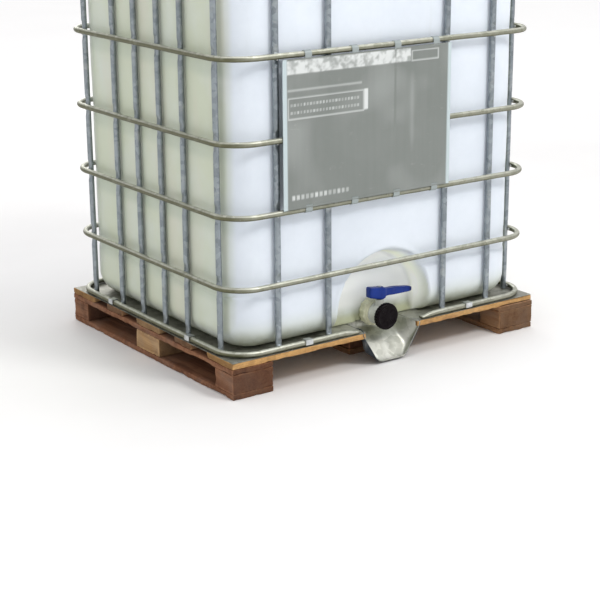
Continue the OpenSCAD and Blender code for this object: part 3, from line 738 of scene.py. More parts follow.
crossbar_piece("crossbar_left")
crossbar_piece("crossbar_right")
dress("crossbar_bolts", FASTENER, 0.0007)
dress("crossbar_nuts", FASTENER, 0.0006)

# ---- tank ----

TANK = tank_plastic()
tank_high = size_of("tank")[1]
TANK_X, TANK_Y = tank_high[0], tank_high[1]
NECK_TOP = size_of("lid_gasket")[0][2]
TANK_Z0, TANK_Z1 = size_of("base_tray")[1][2] + 0.0005, NECK_TOP - 0.032
TANK_R, LOW_EDGE_R, HIGH_EDGE_R = 0.110, 0.075, 0.050
RECESS_R, RECESS_Z, RECESS_BACK = 0.172, 0.175, -0.378  # the arch's radius, its centre's height, the floor's y
OUTLET_Z = (size_of("outlet_nut")[0][2] + size_of("outlet_nut")[1][2]) / 2
NECK_THREAD, NECK_PITCH = (-0.0245, -0.0025), 0.014  # the thread's ends, below the neck's top
NECK_PROFILE = ([(0.0865, -0.0310), (0.0838, -0.0292), (0.0822, -0.0260)]
                + [(0.0820, z) for z in np.arange(-0.0240, -0.0025, 0.0014)]
                + [(0.0818, -0.0010), (0.0808, -0.0001), (0.0765, -0.0001), (0.0752, -0.0012), (0.0750, -0.0120),
                   (0.0750, -0.0350), (0.0750, -0.0600), (0.0745, -0.1100)])


def tank_outline(step=0.010, fine=0.0042):
    """The plan's points as (kind, position along it): a rounded rectangle, dense across the recess."""
    def split(a, b, gap):
        return list(np.linspace(a, b, max(2, int(abs(b - a) / gap)), endpoint=False))
    sx, sy = TANK_X - TANK_R, TANK_Y - TANK_R
    out = []
    out += [("front", v) for v in split(-0.20, 0.20, fine) + split(0.20, sx, step)]
    out += [("corner", (1, -1, a)) for a in np.linspace(-90, 0, 20, endpoint=False)]
    out += [("right", v) for v in split(-sy, sy, step)]
    out += [("corner", (1, 1, a)) for a in np.linspace(0, 90, 20, endpoint=False)]
    out += [("back", v) for v in split(sx, -sx, step)]
    out += [("corner", (-1, 1, a)) for a in np.linspace(90, 180, 20, endpoint=False)]
    out += [("left", v) for v in split(sy, -sy, step)]
    out += [("corner", (-1, -1, a)) for a in np.linspace(180, 270, 20, endpoint=False)]
    out += [("front", v) for v in split(-sx, -0.20, step)]
    return out


def tank_ring(outline, inset):
    """Plan points and outward normals of the outline moved in by inset."""
    hx, hy = TANK_X - inset, TANK_Y - inset
    r = max(TANK_R - inset, 0.03)
    sx, sy = TANK_X - TANK_R, TANK_Y - TANK_R
    points, normals = [], []
    for kind, value in outline:
        if kind == "corner":
            qx, qy, a = value
            c, s = math.cos(math.radians(a)), math.sin(math.radians(a))
            points.append((qx * (hx - r) + r * c, qy * (hy - r) + r * s))
            normals.append((c, s))
        elif kind in ("front", "back"):
            s = -1 if kind == "front" else 1
            points.append((value * (hx - r) / sx, s * hy))
            normals.append((0, s))
        else:
            s = -1 if kind == "left" else 1
            points.append((s * hx, value * (hy - r) / sy))
            normals.append((s, 0))
    return np.array(points), np.array(normals, float)


def tank_levels():
    """Each row of points from the bottom up: how far the wall has turned in, the edge's radius, the height."""
    z_low, z_high = TANK_Z0 + LOW_EDGE_R, TANK_Z1 - HIGH_EDGE_R
    coarse_from = 0.36
    rows = [(1 - math.cos(t), LOW_EDGE_R, z_low - LOW_EDGE_R * math.sin(t))
            for t in np.radians(np.linspace(90, 4, 20))]
    rows += [(0.0, 0.0, z) for z in np.linspace(z_low, coarse_from, 44)]
    rows += [(0.0, 0.0, z) for z in np.linspace(coarse_from, z_high, 90)[1:]]
    return rows + [(1 - math.cos(t), HIGH_EDGE_R, z_high + HIGH_EDGE_R * math.sin(t))
                   for t in np.radians(np.linspace(4, 90, 16))]


def arch(lines, u, power):
    """1 in the middle between each two neighbouring lines, falling to 0 at the lines."""
    rise = np.zeros_like(u)
    for a, b in zip(lines[:-1], lines[1:]):
        inside = (u >= a) & (u <= b)
        rise[inside] = np.sin(math.pi * (u[inside] - a) / (b - a)) ** power
    return rise


def tank_bulge(points, normals, z, side):
    """How far the wall stands out of its plan: between the tubes it bulges, with a wavy line near its foot."""
    bulge, pressed, uneven, wavy_line, furthest = 0.0034, 0.0010, 0.0012, 0.0032, 0.0075
    along_x = np.abs(normals[:, 1]) > 0.5
    u = np.where(along_x, points[:, 0], points[:, 1])
    long_bays = arch([-TANK_X] + LONG + [TANK_X], u, 0.6)
    bay = np.where(along_x, long_bays, arch([-TANK_Y] + SHORT + [TANK_Y], u, 0.6))
    tall = arch(sorted(RING_Z.values()), np.array([z]), 0.55)[0]
    push = (bulge * bay * (0.3 + 0.7 * tall) - pressed) * side
    push = push + fractal(np.column_stack([points, np.full(len(points), z)]), 3.2, 3, 1.0) * uneven
    line_z = 0.287 + 0.006 * np.sin(u * 21 + 1.3) + 0.004 * np.sin(u * 47)
    push = push - wavy_line * np.exp(-((z - line_z) / 0.006) ** 2) * side
    return np.minimum(push, furthest)


def press_recess(points, z, side):
    """Presses the valve's arched recess into the front. Gives how far each point is in it, 0 to 1."""
    front = (points[:, 1] < -0.36) & (np.abs(points[:, 0]) < 0.24)
    x = points[:, 0]
    inside = np.where(z > RECESS_Z, RECESS_R - np.hypot(x, z - RECESS_Z), RECESS_R - np.abs(x))
    m = ramp01(inside, -0.016, 0.018)
    foot = 0.012 * np.exp(-((z - TANK_Z0) / 0.018) ** 2) * ramp01(np.abs(x), 0.052, 0.075)
    back = np.maximum(points[:, 1], RECESS_BACK - foot)
    raised_rim = -0.0030 * hump(inside, -0.020, 0.003, 0.012) * side
    points[:, 1] = np.where(front, points[:, 1] * (1 - m) + back * m + raised_rim, points[:, 1])
    return np.where(front, m, 0)


def tank_piece():
    """The blown tank: its bulged wall with the recess, a closed bottom, a ridged top and the threaded neck."""
    outline = tank_outline()
    rows, recess_rows = [], []
    for turned, edge_r, z in tank_levels():
        points, normals = tank_ring(outline, turned * edge_r)
        points = points + normals * tank_bulge(points, normals, z, 1 - turned)[:, None]
        recess_rows.append(press_recess(points, z, 1 - turned))
        rows.append(np.column_stack([points, np.full(len(points), z)]))
    rows = np.array(rows)
    n = rows.shape[1]
    below, above = [], []
    for s in (0.93, 0.82, 0.66, 0.48, 0.30, 0.14):
        inner = rows[0] * [s, s, 1]
        inner[:, 2] = TANK_Z0
        below.append(inner)
    turn = np.arctan2(rows[-1][:, 1], rows[-1][:, 0])
    spokes = np.column_stack([np.cos(turn), np.sin(turn)])
    neck_foot_r = 0.091
    for s in (0.06, 0.14, 0.24, 0.36, 0.5, 0.64, 0.78, 0.9, 1.0):
        inner = rows[-1].copy()
        inner[:, :2] = rows[-1][:, :2] * (1 - s) + spokes * neck_foot_r * s
        rise = fractal(inner, 3.5, 2, 4.0) * 0.0016 * (1 - s) - 0.0012 * (1 - s)
        ridge = 0.003 * hump(np.abs(inner[:, 1]), 0.25, 0.03, 0.02) * (1 - s) * (np.abs(inner[:, 0]) < 0.45)
        inner[:, 2] = TANK_Z1 + rise + ridge
        above.append(inner)
    for radius, z in NECK_PROFILE:
        ring = np.column_stack([spokes * radius, np.full(n, NECK_TOP + z)])
        if NECK_THREAD[0] < z < NECK_THREAD[1]:
            phase = ((z - NECK_THREAD[0]) / NECK_PITCH - turn / (2 * math.pi)) % 1.0
            ring[:, :2] = spokes * (radius - 0.0016 + 0.0015 * hump(phase, 0.5, 0.10, 0.16))[:, None]
        above.append(ring)
    everything = np.array(below[::-1] + list(rows) + above)
    wall = slice(len(below), len(below) + len(rows))
    recess = np.zeros(everything.shape[:2])
    recess[wall] = np.array(recess_rows)
    hollow = recess * hump(recess, 0.5, 0.15, 0.34)
    b = Builder()
    b.grid(everything, close_cols=True, caps=True)
    solid = len(b.verts)
    spigot = [(-0.372, 0.024), (-0.372, 0.033), (-0.4015, 0.033), (-0.402, 0.0325), (-0.402, 0.0232),
              (-0.372, 0.024)]
    revolve(b, spigot, (0, 0, OUTLET_Z), steps=64)
    piece = b.piece("tank_shell")
    for name, values in (("hollow", hollow), ("recess", recess)):
        store(piece, name, np.concatenate([values.reshape(-1), np.zeros(len(b.verts) - solid)]))
    fit_out(piece, "tank", TANK)


tank_piece()

# ---- label plate ----


HOOK_STARTS = (-0.330, -0.160, 0.0, 0.150)
HOOK_WIDTH = 0.024


def plate_steel():
    g = Graph("label_plate_steel")
    brushed = g.noise(1.0, 4, 0.6, g.stretched(60, 60, 3))
    cloudy = g.noise(5.5, 5, 0.6, warp=0.5)
    colour = g.ramp(g.plus(g.times(brushed, 0.4), g.times(cloudy, 0.6)),
                    (0.3, (0.205, 0.225, 0.21)), (0.7, (0.235, 0.255, 0.24)))
    # Painted highlight: the raised embossing is coloured near white.
    colour = g.mix(g.times(g.attribute("raised"), 0.85), colour, (0.80, 0.83, 0.82))
    # Painted highlight: the folded side strips, and partly the hooks, are coloured light blue-white.
    colour = g.mix(g.attribute("strip"), colour, (0.55, 0.64, 0.66))
    marks = g.span(g.noise(1.0, 6, 0.75, g.stretched(25, 25, 60), 1.2), 0.60, 0.74)
    colour = g.mix(g.times(marks, 0.25), colour, (0.45, 0.46, 0.43))
    g.set(Base_Color=colour, Metallic=0.35, Roughness=g.plus(g.times(cloudy, 0.08), 0.48))
    g.bump((brushed, 0.06, 0.0004), (g.noise(160, 4), 0.10, 0.0004))
    return g.mat


def embossing(u, v, shape, blotch):
    """Heights over the plate, whose sides are 0 and 1 in u and v: a band, frames and rows of plain dashes."""
    def bar(u0, u1, v0, v1, height, soft=0.006):
        wide = soft * shape
        return height * (ramp01(u, u0 - soft, u0) * (1 - ramp01(u, u1, u1 + soft))
                         * ramp01(v, v0 - wide, v0) * (1 - ramp01(v, v1, v1 + wide)))

    def frame_line(u0, u1, v0, v1, height, line=0.006):
        outer = bar(u0, u1, v0, v1, height, 0.004)
        return outer - bar(u0 + line, u1 - line, v0 + line * 1.5, v1 - line * 1.5, height, 0.004)

    rng = np.random.default_rng(11)
    parts = [bar(0.024, 0.745, 0.905, 0.985, 1.0) * (0.0012 + 0.0006 * np.clip(blotch * 2.2, -1, 1)),
             frame_line(0.755, 0.92, 0.900, 0.970, 0.0010), bar(0.030, 0.450, 0.792, 0.799, 0.0006),
             frame_line(0.030, 0.465, 0.605, 0.745, 0.0009), bar(0.470, 0.486, 0.615, 0.745, 0.0017)]
    for at in 0.045 + 0.40 * np.arange(22) / 22:
        for v0 in (0.690, 0.640):
            parts.append(bar(at, at + 0.008, v0, v0 + 0.016, 0.0004 + 0.0006 * rng.random(), 0.003))
    for at in 0.05 + 0.026 * np.arange(13):
        parts.append(bar(at, at + 0.014, 0.065, 0.092, 0.0007 + 0.0006 * rng.random(), 0.003))
    return np.max(parts, axis=0)


def plate_hook(b, x0, z, way, front_y):
    """A strip of the plate's edge that wraps over a tube, from below (way -1) or above (way 1)."""
    r = TUBE_R + 0.0009
    arc = np.radians(np.linspace(180, 0, 15))
    line = [(-TUBE_R - 0.0010, -TUBE_R - 0.006)]
    line += [(r * math.cos(a), r * math.sin(a)) for a in arc] + [(r, -0.002)]
    middle = np.array([[(x0 + dx, -RING_Y + dy, z + way * dz) for dy, dz in line]
                       for dx in (0, 0.001, HOOK_WIDTH / 2, HOOK_WIDTH - 0.001, HOOK_WIDTH)])
    out = (middle - [0, -RING_Y, z]) * [0, 1, 1]
    out /= np.maximum(np.linalg.norm(out, axis=2, keepdims=True), 1e-9)
    outer = middle + out * 0.0004
    outer[:, :, 1] = np.maximum(outer[:, :, 1], front_y)
    b.sheet(outer, middle - out * 0.0006, flip=way < 0)


def plate_piece():
    """A folded steel plate with painted highlights on the strips at its sides, its hooks and its raised embossing, a
    hammered band and generic embossing.
    """
    low, high = size_of("label_plate")
    left, right = low[0], high[0]
    bottom, top = RING_Z["ring_second"] + TUBE_R - 0.002, RING_Z["ring_fourth"] - TUBE_R - 0.002
    face_y, front_y = low[1] + 0.0022, low[1] + 0.0002
    strip_left, strip_right = 0.020, 0.014
    xs = np.concatenate([np.linspace(left, left + strip_left, 8, endpoint=False),
                         np.linspace(left + strip_left, right - strip_right, 216, endpoint=False),
                         np.linspace(right - strip_right, right, 6)])
    gx, gz = np.meshgrid(xs, np.linspace(bottom, top, 160))
    u, v = (gx - left) / (right - left), (gz - bottom) / (top - bottom)
    flat = np.column_stack([gx.ravel(), np.zeros(gx.size), gz.ravel()])
    h = embossing(u, v, (right - left) / (top - bottom), fractal(flat, 55, 3, 2.0).reshape(gx.shape))
    h -= 0.0004 * np.exp(-((u - 0.655) / 0.005) ** 2) * ramp01(v, 0.25, 0.4)
    h += 0.0002 * np.exp(-((u - 0.760) / 0.014) ** 2) * hump(v, 0.55, 0.15, 0.2)
    h += 0.0004 * fractal(flat, 4.0, 3, 8.0).reshape(gx.shape)
    h = np.clip(h, -0.0016, 0.0019)
    strip = np.maximum(1 - ramp01(u, 0.020, 0.026), ramp01(u, 0.978, 0.984))
    edge_z = 1 - ramp01(np.minimum(v, 1 - v), 0.004, 0.010)
    y = face_y - h * (1 - strip) - 0.0014 * strip - 0.0012 * edge_z * (1 - strip)
    b = Builder()
    b.sheet(np.stack([gx, np.maximum(y, front_y), gz], axis=2),
            np.stack([gx, np.full_like(gx, face_y + 0.0010), gz], axis=2))
    size, plate_verts = gx.size, len(b.verts)
    for x0 in HOOK_STARTS:
        for ring, way in (("ring_fourth", 1), ("ring_second", -1)):
            plate_hook(b, x0, RING_Z[ring], way, front_y)
    piece = b.piece("label_plate_face", sharp=60)
    strips, raised = np.full(len(b.verts), 0.35), np.zeros(len(b.verts))
    strips[:plate_verts] = np.tile(strip.ravel(), 2)
    raised[:size] = np.clip(np.maximum(h, 0) / 0.0016, 0, 1).ravel() * (1 - strip.ravel())
    store(piece, "strip", strips)
    store(piece, "raised", raised)
    fit_out(piece, "label_plate", plate_steel())


plate_piece()

# ---- tray and drip lip ----


def tray_piece():
    """The pressed steel tray: a shallow pan with a bead by its edge, notched at the front for the valve."""
    low, high = size_of("base_tray")
    notch_x, notch_y = size_of("deck_front_right")[0][0] - 0.002, -0.373
    xs = np.unique(np.round(np.concatenate([
        np.linspace(low[0], -notch_x, 42), np.linspace(-notch_x, notch_x, 22),
        np.linspace(notch_x, high[0], 42),
        low[0] + np.array([0.002, 0.004, 0.007]), high[0] - np.array([0.002, 0.004, 0.007])]), 5))
    ys = np.unique(np.round(np.concatenate([
        np.linspace(low[1], notch_y, 14), np.linspace(notch_y, high[1], 70),
        low[1] + np.array([0.002, 0.004, 0.007]), high[1] - np.array([0.002, 0.004, 0.007])]), 5))
    gx, gy = np.meshgrid(xs, ys)
    flat = np.column_stack([gx.ravel(), gy.ravel(), np.zeros(gx.size)])
    wave = fractal(flat, 6.0, 3, 5.0).reshape(gx.shape) * 0.0007
    edge = np.minimum(np.minimum(gx - low[0], high[0] - gx), np.minimum(gy - low[1], high[1] - gy))
    z = high[2] - 0.0006 + np.minimum(wave, 0.0004)
    z += 0.0005 * hump(edge, 0.028, 0.002, 0.004)
    z -= 0.0011 * (1 - ramp01(edge, 0.0, 0.005))
    rows, cols = gx.shape
    b = Builder()
    index = {}

    def vert(i, j, layer):
        key = (i, j, layer)
        if key not in index:
            index[key] = len(b.verts)
            b.verts.append((gx[i, j], gy[i, j], z[i, j] if layer == 0 else low[2] + 0.0001))
        return index[key]

    def open_cell(i, j):
        if not (0 <= i < rows - 1 and 0 <= j < cols - 1):
            return True
        cx, cy = (gx[i, j] + gx[i, j + 1]) / 2, (gy[i, j] + gy[i + 1, j]) / 2
        return abs(cx) < notch_x and cy < notch_y

    for i in range(rows - 1):
        for j in range(cols - 1):
            if open_cell(i, j):
                continue
            b.faces.append((vert(i, j, 0), vert(i, j + 1, 0), vert(i + 1, j + 1, 0), vert(i + 1, j, 0)))
            b.faces.append((vert(i + 1, j, 1), vert(i + 1, j + 1, 1), vert(i, j + 1, 1), vert(i, j, 1)))
            corners = [(i, j), (i, j + 1), (i + 1, j + 1), (i + 1, j)]
            for beside, k in (((i - 1, j), 0), ((i + 1, j), 2), ((i, j - 1), 3), ((i, j + 1), 1)):
                p, q = corners[k], corners[(k + 1) % 4]
                if open_cell(*beside):
                    b.faces.append((vert(*p, 0), vert(*p, 1), vert(*q, 1), vert(*q, 0)))
    fit_out(b.piece("tray_sheet", sharp=40), "base_tray", SHEET)


tray_piece()


def through(points, count):
    """A smooth run of count points through the given ones, evenly spaced by their order."""
    points = np.array(points, float)
    t = np.linspace(0, len(points) - 1, count)
    fine = np.column_stack([np.interp(t, np.arange(len(points)), points[:, k]) for k in range(points.shape[1])])
    for _ in range(3):
        fine[1:-1] = 0.5 * fine[1:-1] + 0.25 * (fine[:-2] + fine[2:])
    return fine


def lip_piece():
    """The drip lip: a deep scoop from the tray to the front, whose rims flare over the deck's front edge."""
    low, high = size_of("drip_lip")
    front, top = low[1] + 0.0016, high[2] - 0.0004
    over = size_of("base_tray")[1][2] + 0.0012
    wall, wing = size_of("deck_front_right")[0][0] - 0.0045, high[0]
    middle = through([  # y, z
        (-0.361, top), (-0.3725, top), (-0.3745, 0.104), (-0.3765, 0.0905), (-0.386, 0.0820), (-0.404, 0.0765),
        (-0.424, 0.0705), (-0.440, 0.0620), (-0.452, 0.0510), (-0.462, 0.0400), (-0.471, 0.0300),
        (-0.479, 0.0215), (-0.486, 0.0145), (-0.492, 0.0100), (front, 0.0075)], 70)
    rim = through([  # half width, y, z
        (wall, -0.361, top), (wall, -0.3725, top), (wall, -0.378, top), (wall, -0.392, top),
        (wall, -0.412, top), (wall, -0.434, top), (wall + 0.0005, -0.455, over), (wall + 0.003, -0.474, over),
        (wall + 0.009, -0.4885, over), (wing - 0.003, front, over - 0.005), (wing - 0.009, front, 0.0960),
        (wing - 0.024, front, 0.0720), (wing - 0.040, front, 0.0470), (wing - 0.053, front, 0.0250),
        (wing - 0.066, front, 0.0120)], 70)
    v = np.linspace(-1, 1, 73)
    across = np.abs(v)
    rise = ramp01(across, 0.46, 0.98) ** 1.15
    spread = np.interp(across, [0, 0.5, 0.62, 0.75, 0.9, 1.0], [0, 0.66, 0.80, 0.915, 0.985, 1.0])
    rows = []
    for (y0, z0), (w, y1, z1) in zip(middle, rim):
        rows.append(np.column_stack([np.sign(v) * w * spread, y0 + (y1 - y0) * rise, z0 + (z1 - z0) * rise]))
    grid = np.array(rows)
    dents = fractal(grid.reshape(-1, 3), 24.0, 2, 3.0).reshape(grid.shape[:2]) * 0.0012
    inside = ramp01(np.arange(70), 8, 16)[:, None] * (1 - ramp01(np.arange(70), 62, 69))[:, None]
    inside = inside * (1 - ramp01(across, 0.6, 0.8))[None, :]
    grid[:, :, 1] += dents * inside
    b = Builder()
    b.grid(grid, flip=True)
    rim_r = 0.0013
    for s in (-1, 1):
        line = rim[4:] * [s, 1, 1]
        along = np.gradient(line, axis=0)
        along /= np.linalg.norm(along, axis=1, keepdims=True)
        side = np.cross(along, [0.0, 0.35, 1.0])
        side /= np.linalg.norm(side, axis=1, keepdims=True)
        up = np.cross(side, along)
        size = np.full((len(line), 8), rim_r)
        sweep(b, line, side, up, size, size)
    piece = b.piece("lip_scoop")
    add_modifier(piece, "SOLIDIFY", thickness=0.0012, offset=1.0, material_offset=1)
    fit_out(piece, "drip_lip", LIP)
    # The back of the sheet takes the dark copy: painted shade.
    piece.data.materials.append(LIP_BACK_SHADED)


lip_piece()
dress("cage_clamps", CLAMP, 0.0006)
dress("clamp_screws", FASTENER, 0.0006)

# ---- pallet ----

TAN = ((0.50, 0.32, 0.155), (0.36, 0.21, 0.095), (0.20, 0.105, 0.045))
ORANGE = ((0.52, 0.31, 0.12), (0.38, 0.20, 0.070), (0.20, 0.095, 0.032))
RED = ((0.26, 0.125, 0.065), (0.17, 0.072, 0.036), (0.080, 0.030, 0.016))
BROWN = ((0.33, 0.185, 0.095), (0.22, 0.115, 0.055), (0.105, 0.050, 0.024))
WOODS = {(tone, along): wood("wood_%s_%s" % (tone, "xy"[along]), along, *colours, grey)
         for tone, colours, grey in (("tan", TAN, 0.25), ("orange", ORANGE, 0.2), ("red", RED, 0.18),
                                     ("brown", BROWN, 0.4))
         for along in (0, 1)}


def timber(node, tone, along, seed):
    """A board or block: rounded and chipped edges and rough faces, all inside its CAD box."""
    low, high = size_of(node)
    size = high - low
    steps = [0.012, 0.012, 0.010]
    steps[along] = 0.016 if size[along] > 0.3 else 0.010
    verts, faces = rounded_block(low, high, steps, 0.0022)
    grain = [60.0, 60.0, 60.0]
    grain[along] = 4.0
    rough = np.array([noise.fractal(Vector(p * grain) + Vector((seed, 0, 0)), 1.0, 2.0, 3) for p in verts])
    from_low, from_high = verts - low, high - verts
    gap = np.minimum(from_low, from_high)
    near = np.sort(gap, axis=1)
    edge = 1 - ramp01(near[:, 1], 0.0, 0.010)
    chips = fractal(verts, 38.0, 3, seed * 2.3)
    chip = np.clip((chips - 0.10) * 2.4, 0, 1) * edge
    big = np.clip((fractal(verts, 9.0, 2, seed * 5.1) - 0.28) * 3, 0, 1) * edge
    depth = 0.0004 + 0.0005 * np.clip(rough, -0.5, 1) + 0.0022 * chip + 0.0035 * big
    depth = np.minimum(depth, 0.25 * size.min())
    centre = (low + high) / 2
    weight = np.clip(1 - gap / 0.012, 0, 1)
    inward = -np.sign(verts - centre) * weight
    length = np.maximum(np.linalg.norm(inward, axis=1, keepdims=True), 1e-6)
    verts = verts + inward / np.maximum(length, 1.0) * depth[:, None]
    piece = new_piece("timber_" + node, verts, faces, sharp=55)
    store(piece, "edge", edge)
    fit_out(piece, node, WOODS[tone, along])


TIMBERS = [
    ("skid_left", "red", 1), ("skid_middle", "brown", 1), ("skid_right", "brown", 1),
    ("block_front_left", "red", 1), ("block_front_middle", "red", 1), ("block_front_right", "brown", 1),
    ("block_mid_left", "tan", 1), ("block_mid_middle", "brown", 1), ("block_mid_right", "brown", 1),
    ("block_rear_left", "red", 1), ("block_rear_middle", "brown", 1), ("block_rear_right", "tan", 1),
    ("stringer_left", "red", 1), ("stringer_middle", "brown", 1), ("stringer_right", "brown", 1),
    ("deck_front_left", "orange", 0), ("deck_front_right", "orange", 0), ("deck_second", "brown", 0),
    ("deck_middle", "tan", 0), ("deck_fourth", "brown", 0), ("deck_rear", "orange", 0)]
for number, (node, tone, along) in enumerate(TIMBERS):
    timber(node, tone, along, 1.7 * number + 0.5)
dress("pallet_nails", NAIL)

# ---- outlet: nut, valve, lever and cap ----


def nut_piece():
    low, high = size_of("outlet_nut")
    back, front, r = high[1], low[1], high[0]
    b = Builder()
    profile = [(back, 0.0335), (back, r - 0.004), (back - 0.0012, r - 0.001), (back - 0.003, r - 0.0003),
               (back - 0.010, r - 0.0003), (back - 0.018, r - 0.0003), (back - 0.0235, r - 0.0006),
               (back - 0.0255, r - 0.002), (back - 0.0262, r - 0.0055), (back - 0.0272, r - 0.0075),
               (front + 0.0015, r - 0.0085), (front + 0.0004, r - 0.0095), (front, r - 0.0108), (front, 0.0316),
               (front + 0.008, 0.0314), (back - 0.002, 0.0334)]
    ribs = ribbed(2, 7, 0.062, 14, 0.13, 0.12)
    revolve(b, profile + profile[:1], (0, 0, OUTLET_Z), steps=224, ripple=ribs)
    fit_out(b.piece("outlet_nut_ribbed", sharp=42), "outlet_nut", NUT)


nut_piece()
for node in ("valve_gasket", "stem_seal"):
    dress(node, SEAL)
dress("valve_seat", BODY)
dress("valve_disc", BODY, 0.0005)
dress("valve_body", BODY, 0.0009)


def collar_piece():
    """Two raised rings on the valve body, between the nut and the cap."""
    b = Builder()
    pipe_r = 0.0309
    for start, end, r in ((-0.4160, -0.4225, 0.0350), (-0.4455, -0.4505, 0.0345)):
        chamfer = 0.0015 if r == 0.0350 else 0.0010
        profile = [(start, pipe_r), (start, r - 0.0010), (start - chamfer, r), (end + chamfer, r),
                   (end, r - 0.0010), (end, pipe_r)]
        revolve(b, profile, (0, 0, OUTLET_Z))
    fit_out(b.piece("valve_collars", sharp=40), None, BODY)


collar_piece()


def lever_plastic():
    g = Graph("lever_blue")
    soft = g.noise(22, 4)
    colour = g.ramp(soft, (0.3, (0.004, 0.021, 0.165)), (0.7, (0.006, 0.033, 0.245)))
    end_x = size_of("lever")[1][0]
    tip = g.span(g.axis(0), end_x - 0.020, end_x - 0.006)
    colour = g.mix(g.times(tip, 0.75), colour, (0.003, 0.007, 0.045))
    scuffs = g.span(g.noise(1.0, 5, 0.75, g.stretched(120, 160, 260), 0.8), 0.60, 0.75)
    colour = g.mix(g.times(scuffs, 0.2), colour, (0.10, 0.15, 0.42))
    dust = g.times(g.span(g.facing(2), 0.5, 1.0), g.span(g.noise(90, 5, 0.7), 0.4, 0.7))
    colour = g.mix(g.times(dust, 0.10), colour, (0.30, 0.33, 0.42))
    g.set(Base_Color=colour, Roughness=g.plus(g.times(soft, 0.15), 0.34),
          Specular_IOR_Level=0.22)
    g.bump((g.noise(900, 2), 0.12, 0.0003), (scuffs, 0.3, 0.0003))
    return g.mat


def lever_piece():
    """The moulded lever: a block over the stem, a waist and an arm that tapers to a rounded tip."""
    low, high = size_of("lever")
    y0 = (low[1] + high[1]) / 2
    top, bottom = high[2], low[2]
    rise, droop = 0.007, 0.017
    hub_top = top - rise
    span = high[0] + 0.001

    def upper(x):
        return hub_top - rise * x / -low[0] if x < 0 else hub_top - droop * x / span

    stations = np.array([  # x, height of the underside, drop from the sloping top line, half width
        (low[0], bottom + 0.0140, 0.0060, 0.0090), (low[0] + 0.0010, bottom + 0.0115, 0.0030, 0.0115),
        (low[0] + 0.0035, bottom + 0.0095, 0.0008, 0.0134), (low[0] + 0.008, bottom + 0.0085, 0.0, 0.0140),
        (-0.024, bottom + 0.0055, 0.0, 0.0142), (-0.014, bottom + 0.0030, 0.0, 0.0150),
        (-0.008, bottom + 0.0010, 0.0, 0.0157), (0.0, bottom, 0.0, 0.0160), (0.008, bottom + 0.0002, 0.0, 0.0157),
        (0.013, bottom + 0.0016, 0.0004, 0.0148), (0.018, bottom + 0.0058, 0.0020, 0.0126),
        (0.024, bottom + 0.0072, 0.0030, 0.0108), (0.032, bottom + 0.0072, 0.0028, 0.0104),
        (0.042, bottom + 0.0066, 0.0016, 0.0112), (0.055, bottom + 0.0062, 0.0004, 0.0112),
        (0.070, bottom + 0.0058, 0.0, 0.0104), (0.085, bottom + 0.0054, 0.0, 0.0096),
        (0.100, bottom + 0.0050, 0.0, 0.0088), (0.112, bottom + 0.0048, 0.0002, 0.0082),
        (0.119, bottom + 0.0050, 0.0006, 0.0078), (0.124, bottom + 0.0062, 0.0018, 0.0064),
        (0.1265, bottom + 0.0080, 0.0036, 0.0046), (high[0] - 0.0002, bottom + 0.0105, 0.0064, 0.0022)])
    stations[:, 2] = [upper(x) - drop for x, drop in stations[:, [0, 2]]]
    t = np.linspace(0, len(stations) - 1, 90)
    fine = np.column_stack([np.interp(t, np.arange(len(stations)), stations[:, k]) for k in range(4)])
    fine[1:-1] = 0.5 * fine[1:-1] + 0.25 * (fine[:-2] + fine[2:])
    angles = np.linspace(0, 2 * math.pi, 48, endpoint=False)
    power = 0.30
    cos = np.sign(np.cos(angles)) * np.abs(np.cos(angles)) ** power
    sin = np.sign(np.sin(angles)) * np.abs(np.sin(angles)) ** power
    rows = []
    for x, z0, z1, w in fine:
        groove = 0.0010 * ramp01(x, 0.046, 0.052) * (1 - ramp01(x, 0.108, 0.114))
        half = (z1 - z0) / 2
        zz = (z0 + z1) / 2 + half * sin
        yy = y0 + w * cos
        inset = groove * (np.abs(sin) < 0.72) * (np.abs(cos) > 0.9) * np.sign(cos)
        rows.append(np.column_stack([np.full(48, x), yy - inset, zz]))
    b = Builder()
    b.grid(np.array(rows), close_cols=True, caps=True)
    boss_r, boss_top = 0.0125, hub_top + 0.0006
    profile = [(hub_top - 0.0010, boss_r), (boss_top - 0.0004, boss_r), (boss_top, boss_r - 0.0006),
               (boss_top, 0.0062), (hub_top - 0.0010, 0.0060)]
    revolve(b, profile, (0, y0), axis="z", steps=64)
    for k in range(4):
        x = 0.060 + 0.013 * k
        b.ellipsoid((x, y0, upper(x) - 0.0004), (0.0022, 0.0060, 0.0012), 10, 6)
    fit_out(b.piece("lever_moulded", sharp=50), "lever", lever_plastic(), "lever")


lever_piece()
dress("lever_screw", FASTENER, 0.0005)
dress("cap_gasket", RED_SEAL)


def bars(b, angles, reach, count, place, half, taper, foot, crest, flip):
    """Straight ribs on a round face. place(across, along, height) gives a point; half is a rib's half width."""
    for a in angles:
        c, s = math.cos(a), math.sin(a)
        rows = []
        for d in np.linspace(*reach, count):
            x, y = d * c, d * s
            corners = (1, 1, foot), (1, taper, crest), (-1, taper, crest), (-1, 1, foot)
            rows.append([place(x + side * s * half * k, y - side * c * half * k, level)
                         for side, k, level in corners])
        b.grid(np.array(rows), close_cols=True, caps=True, flip=flip)


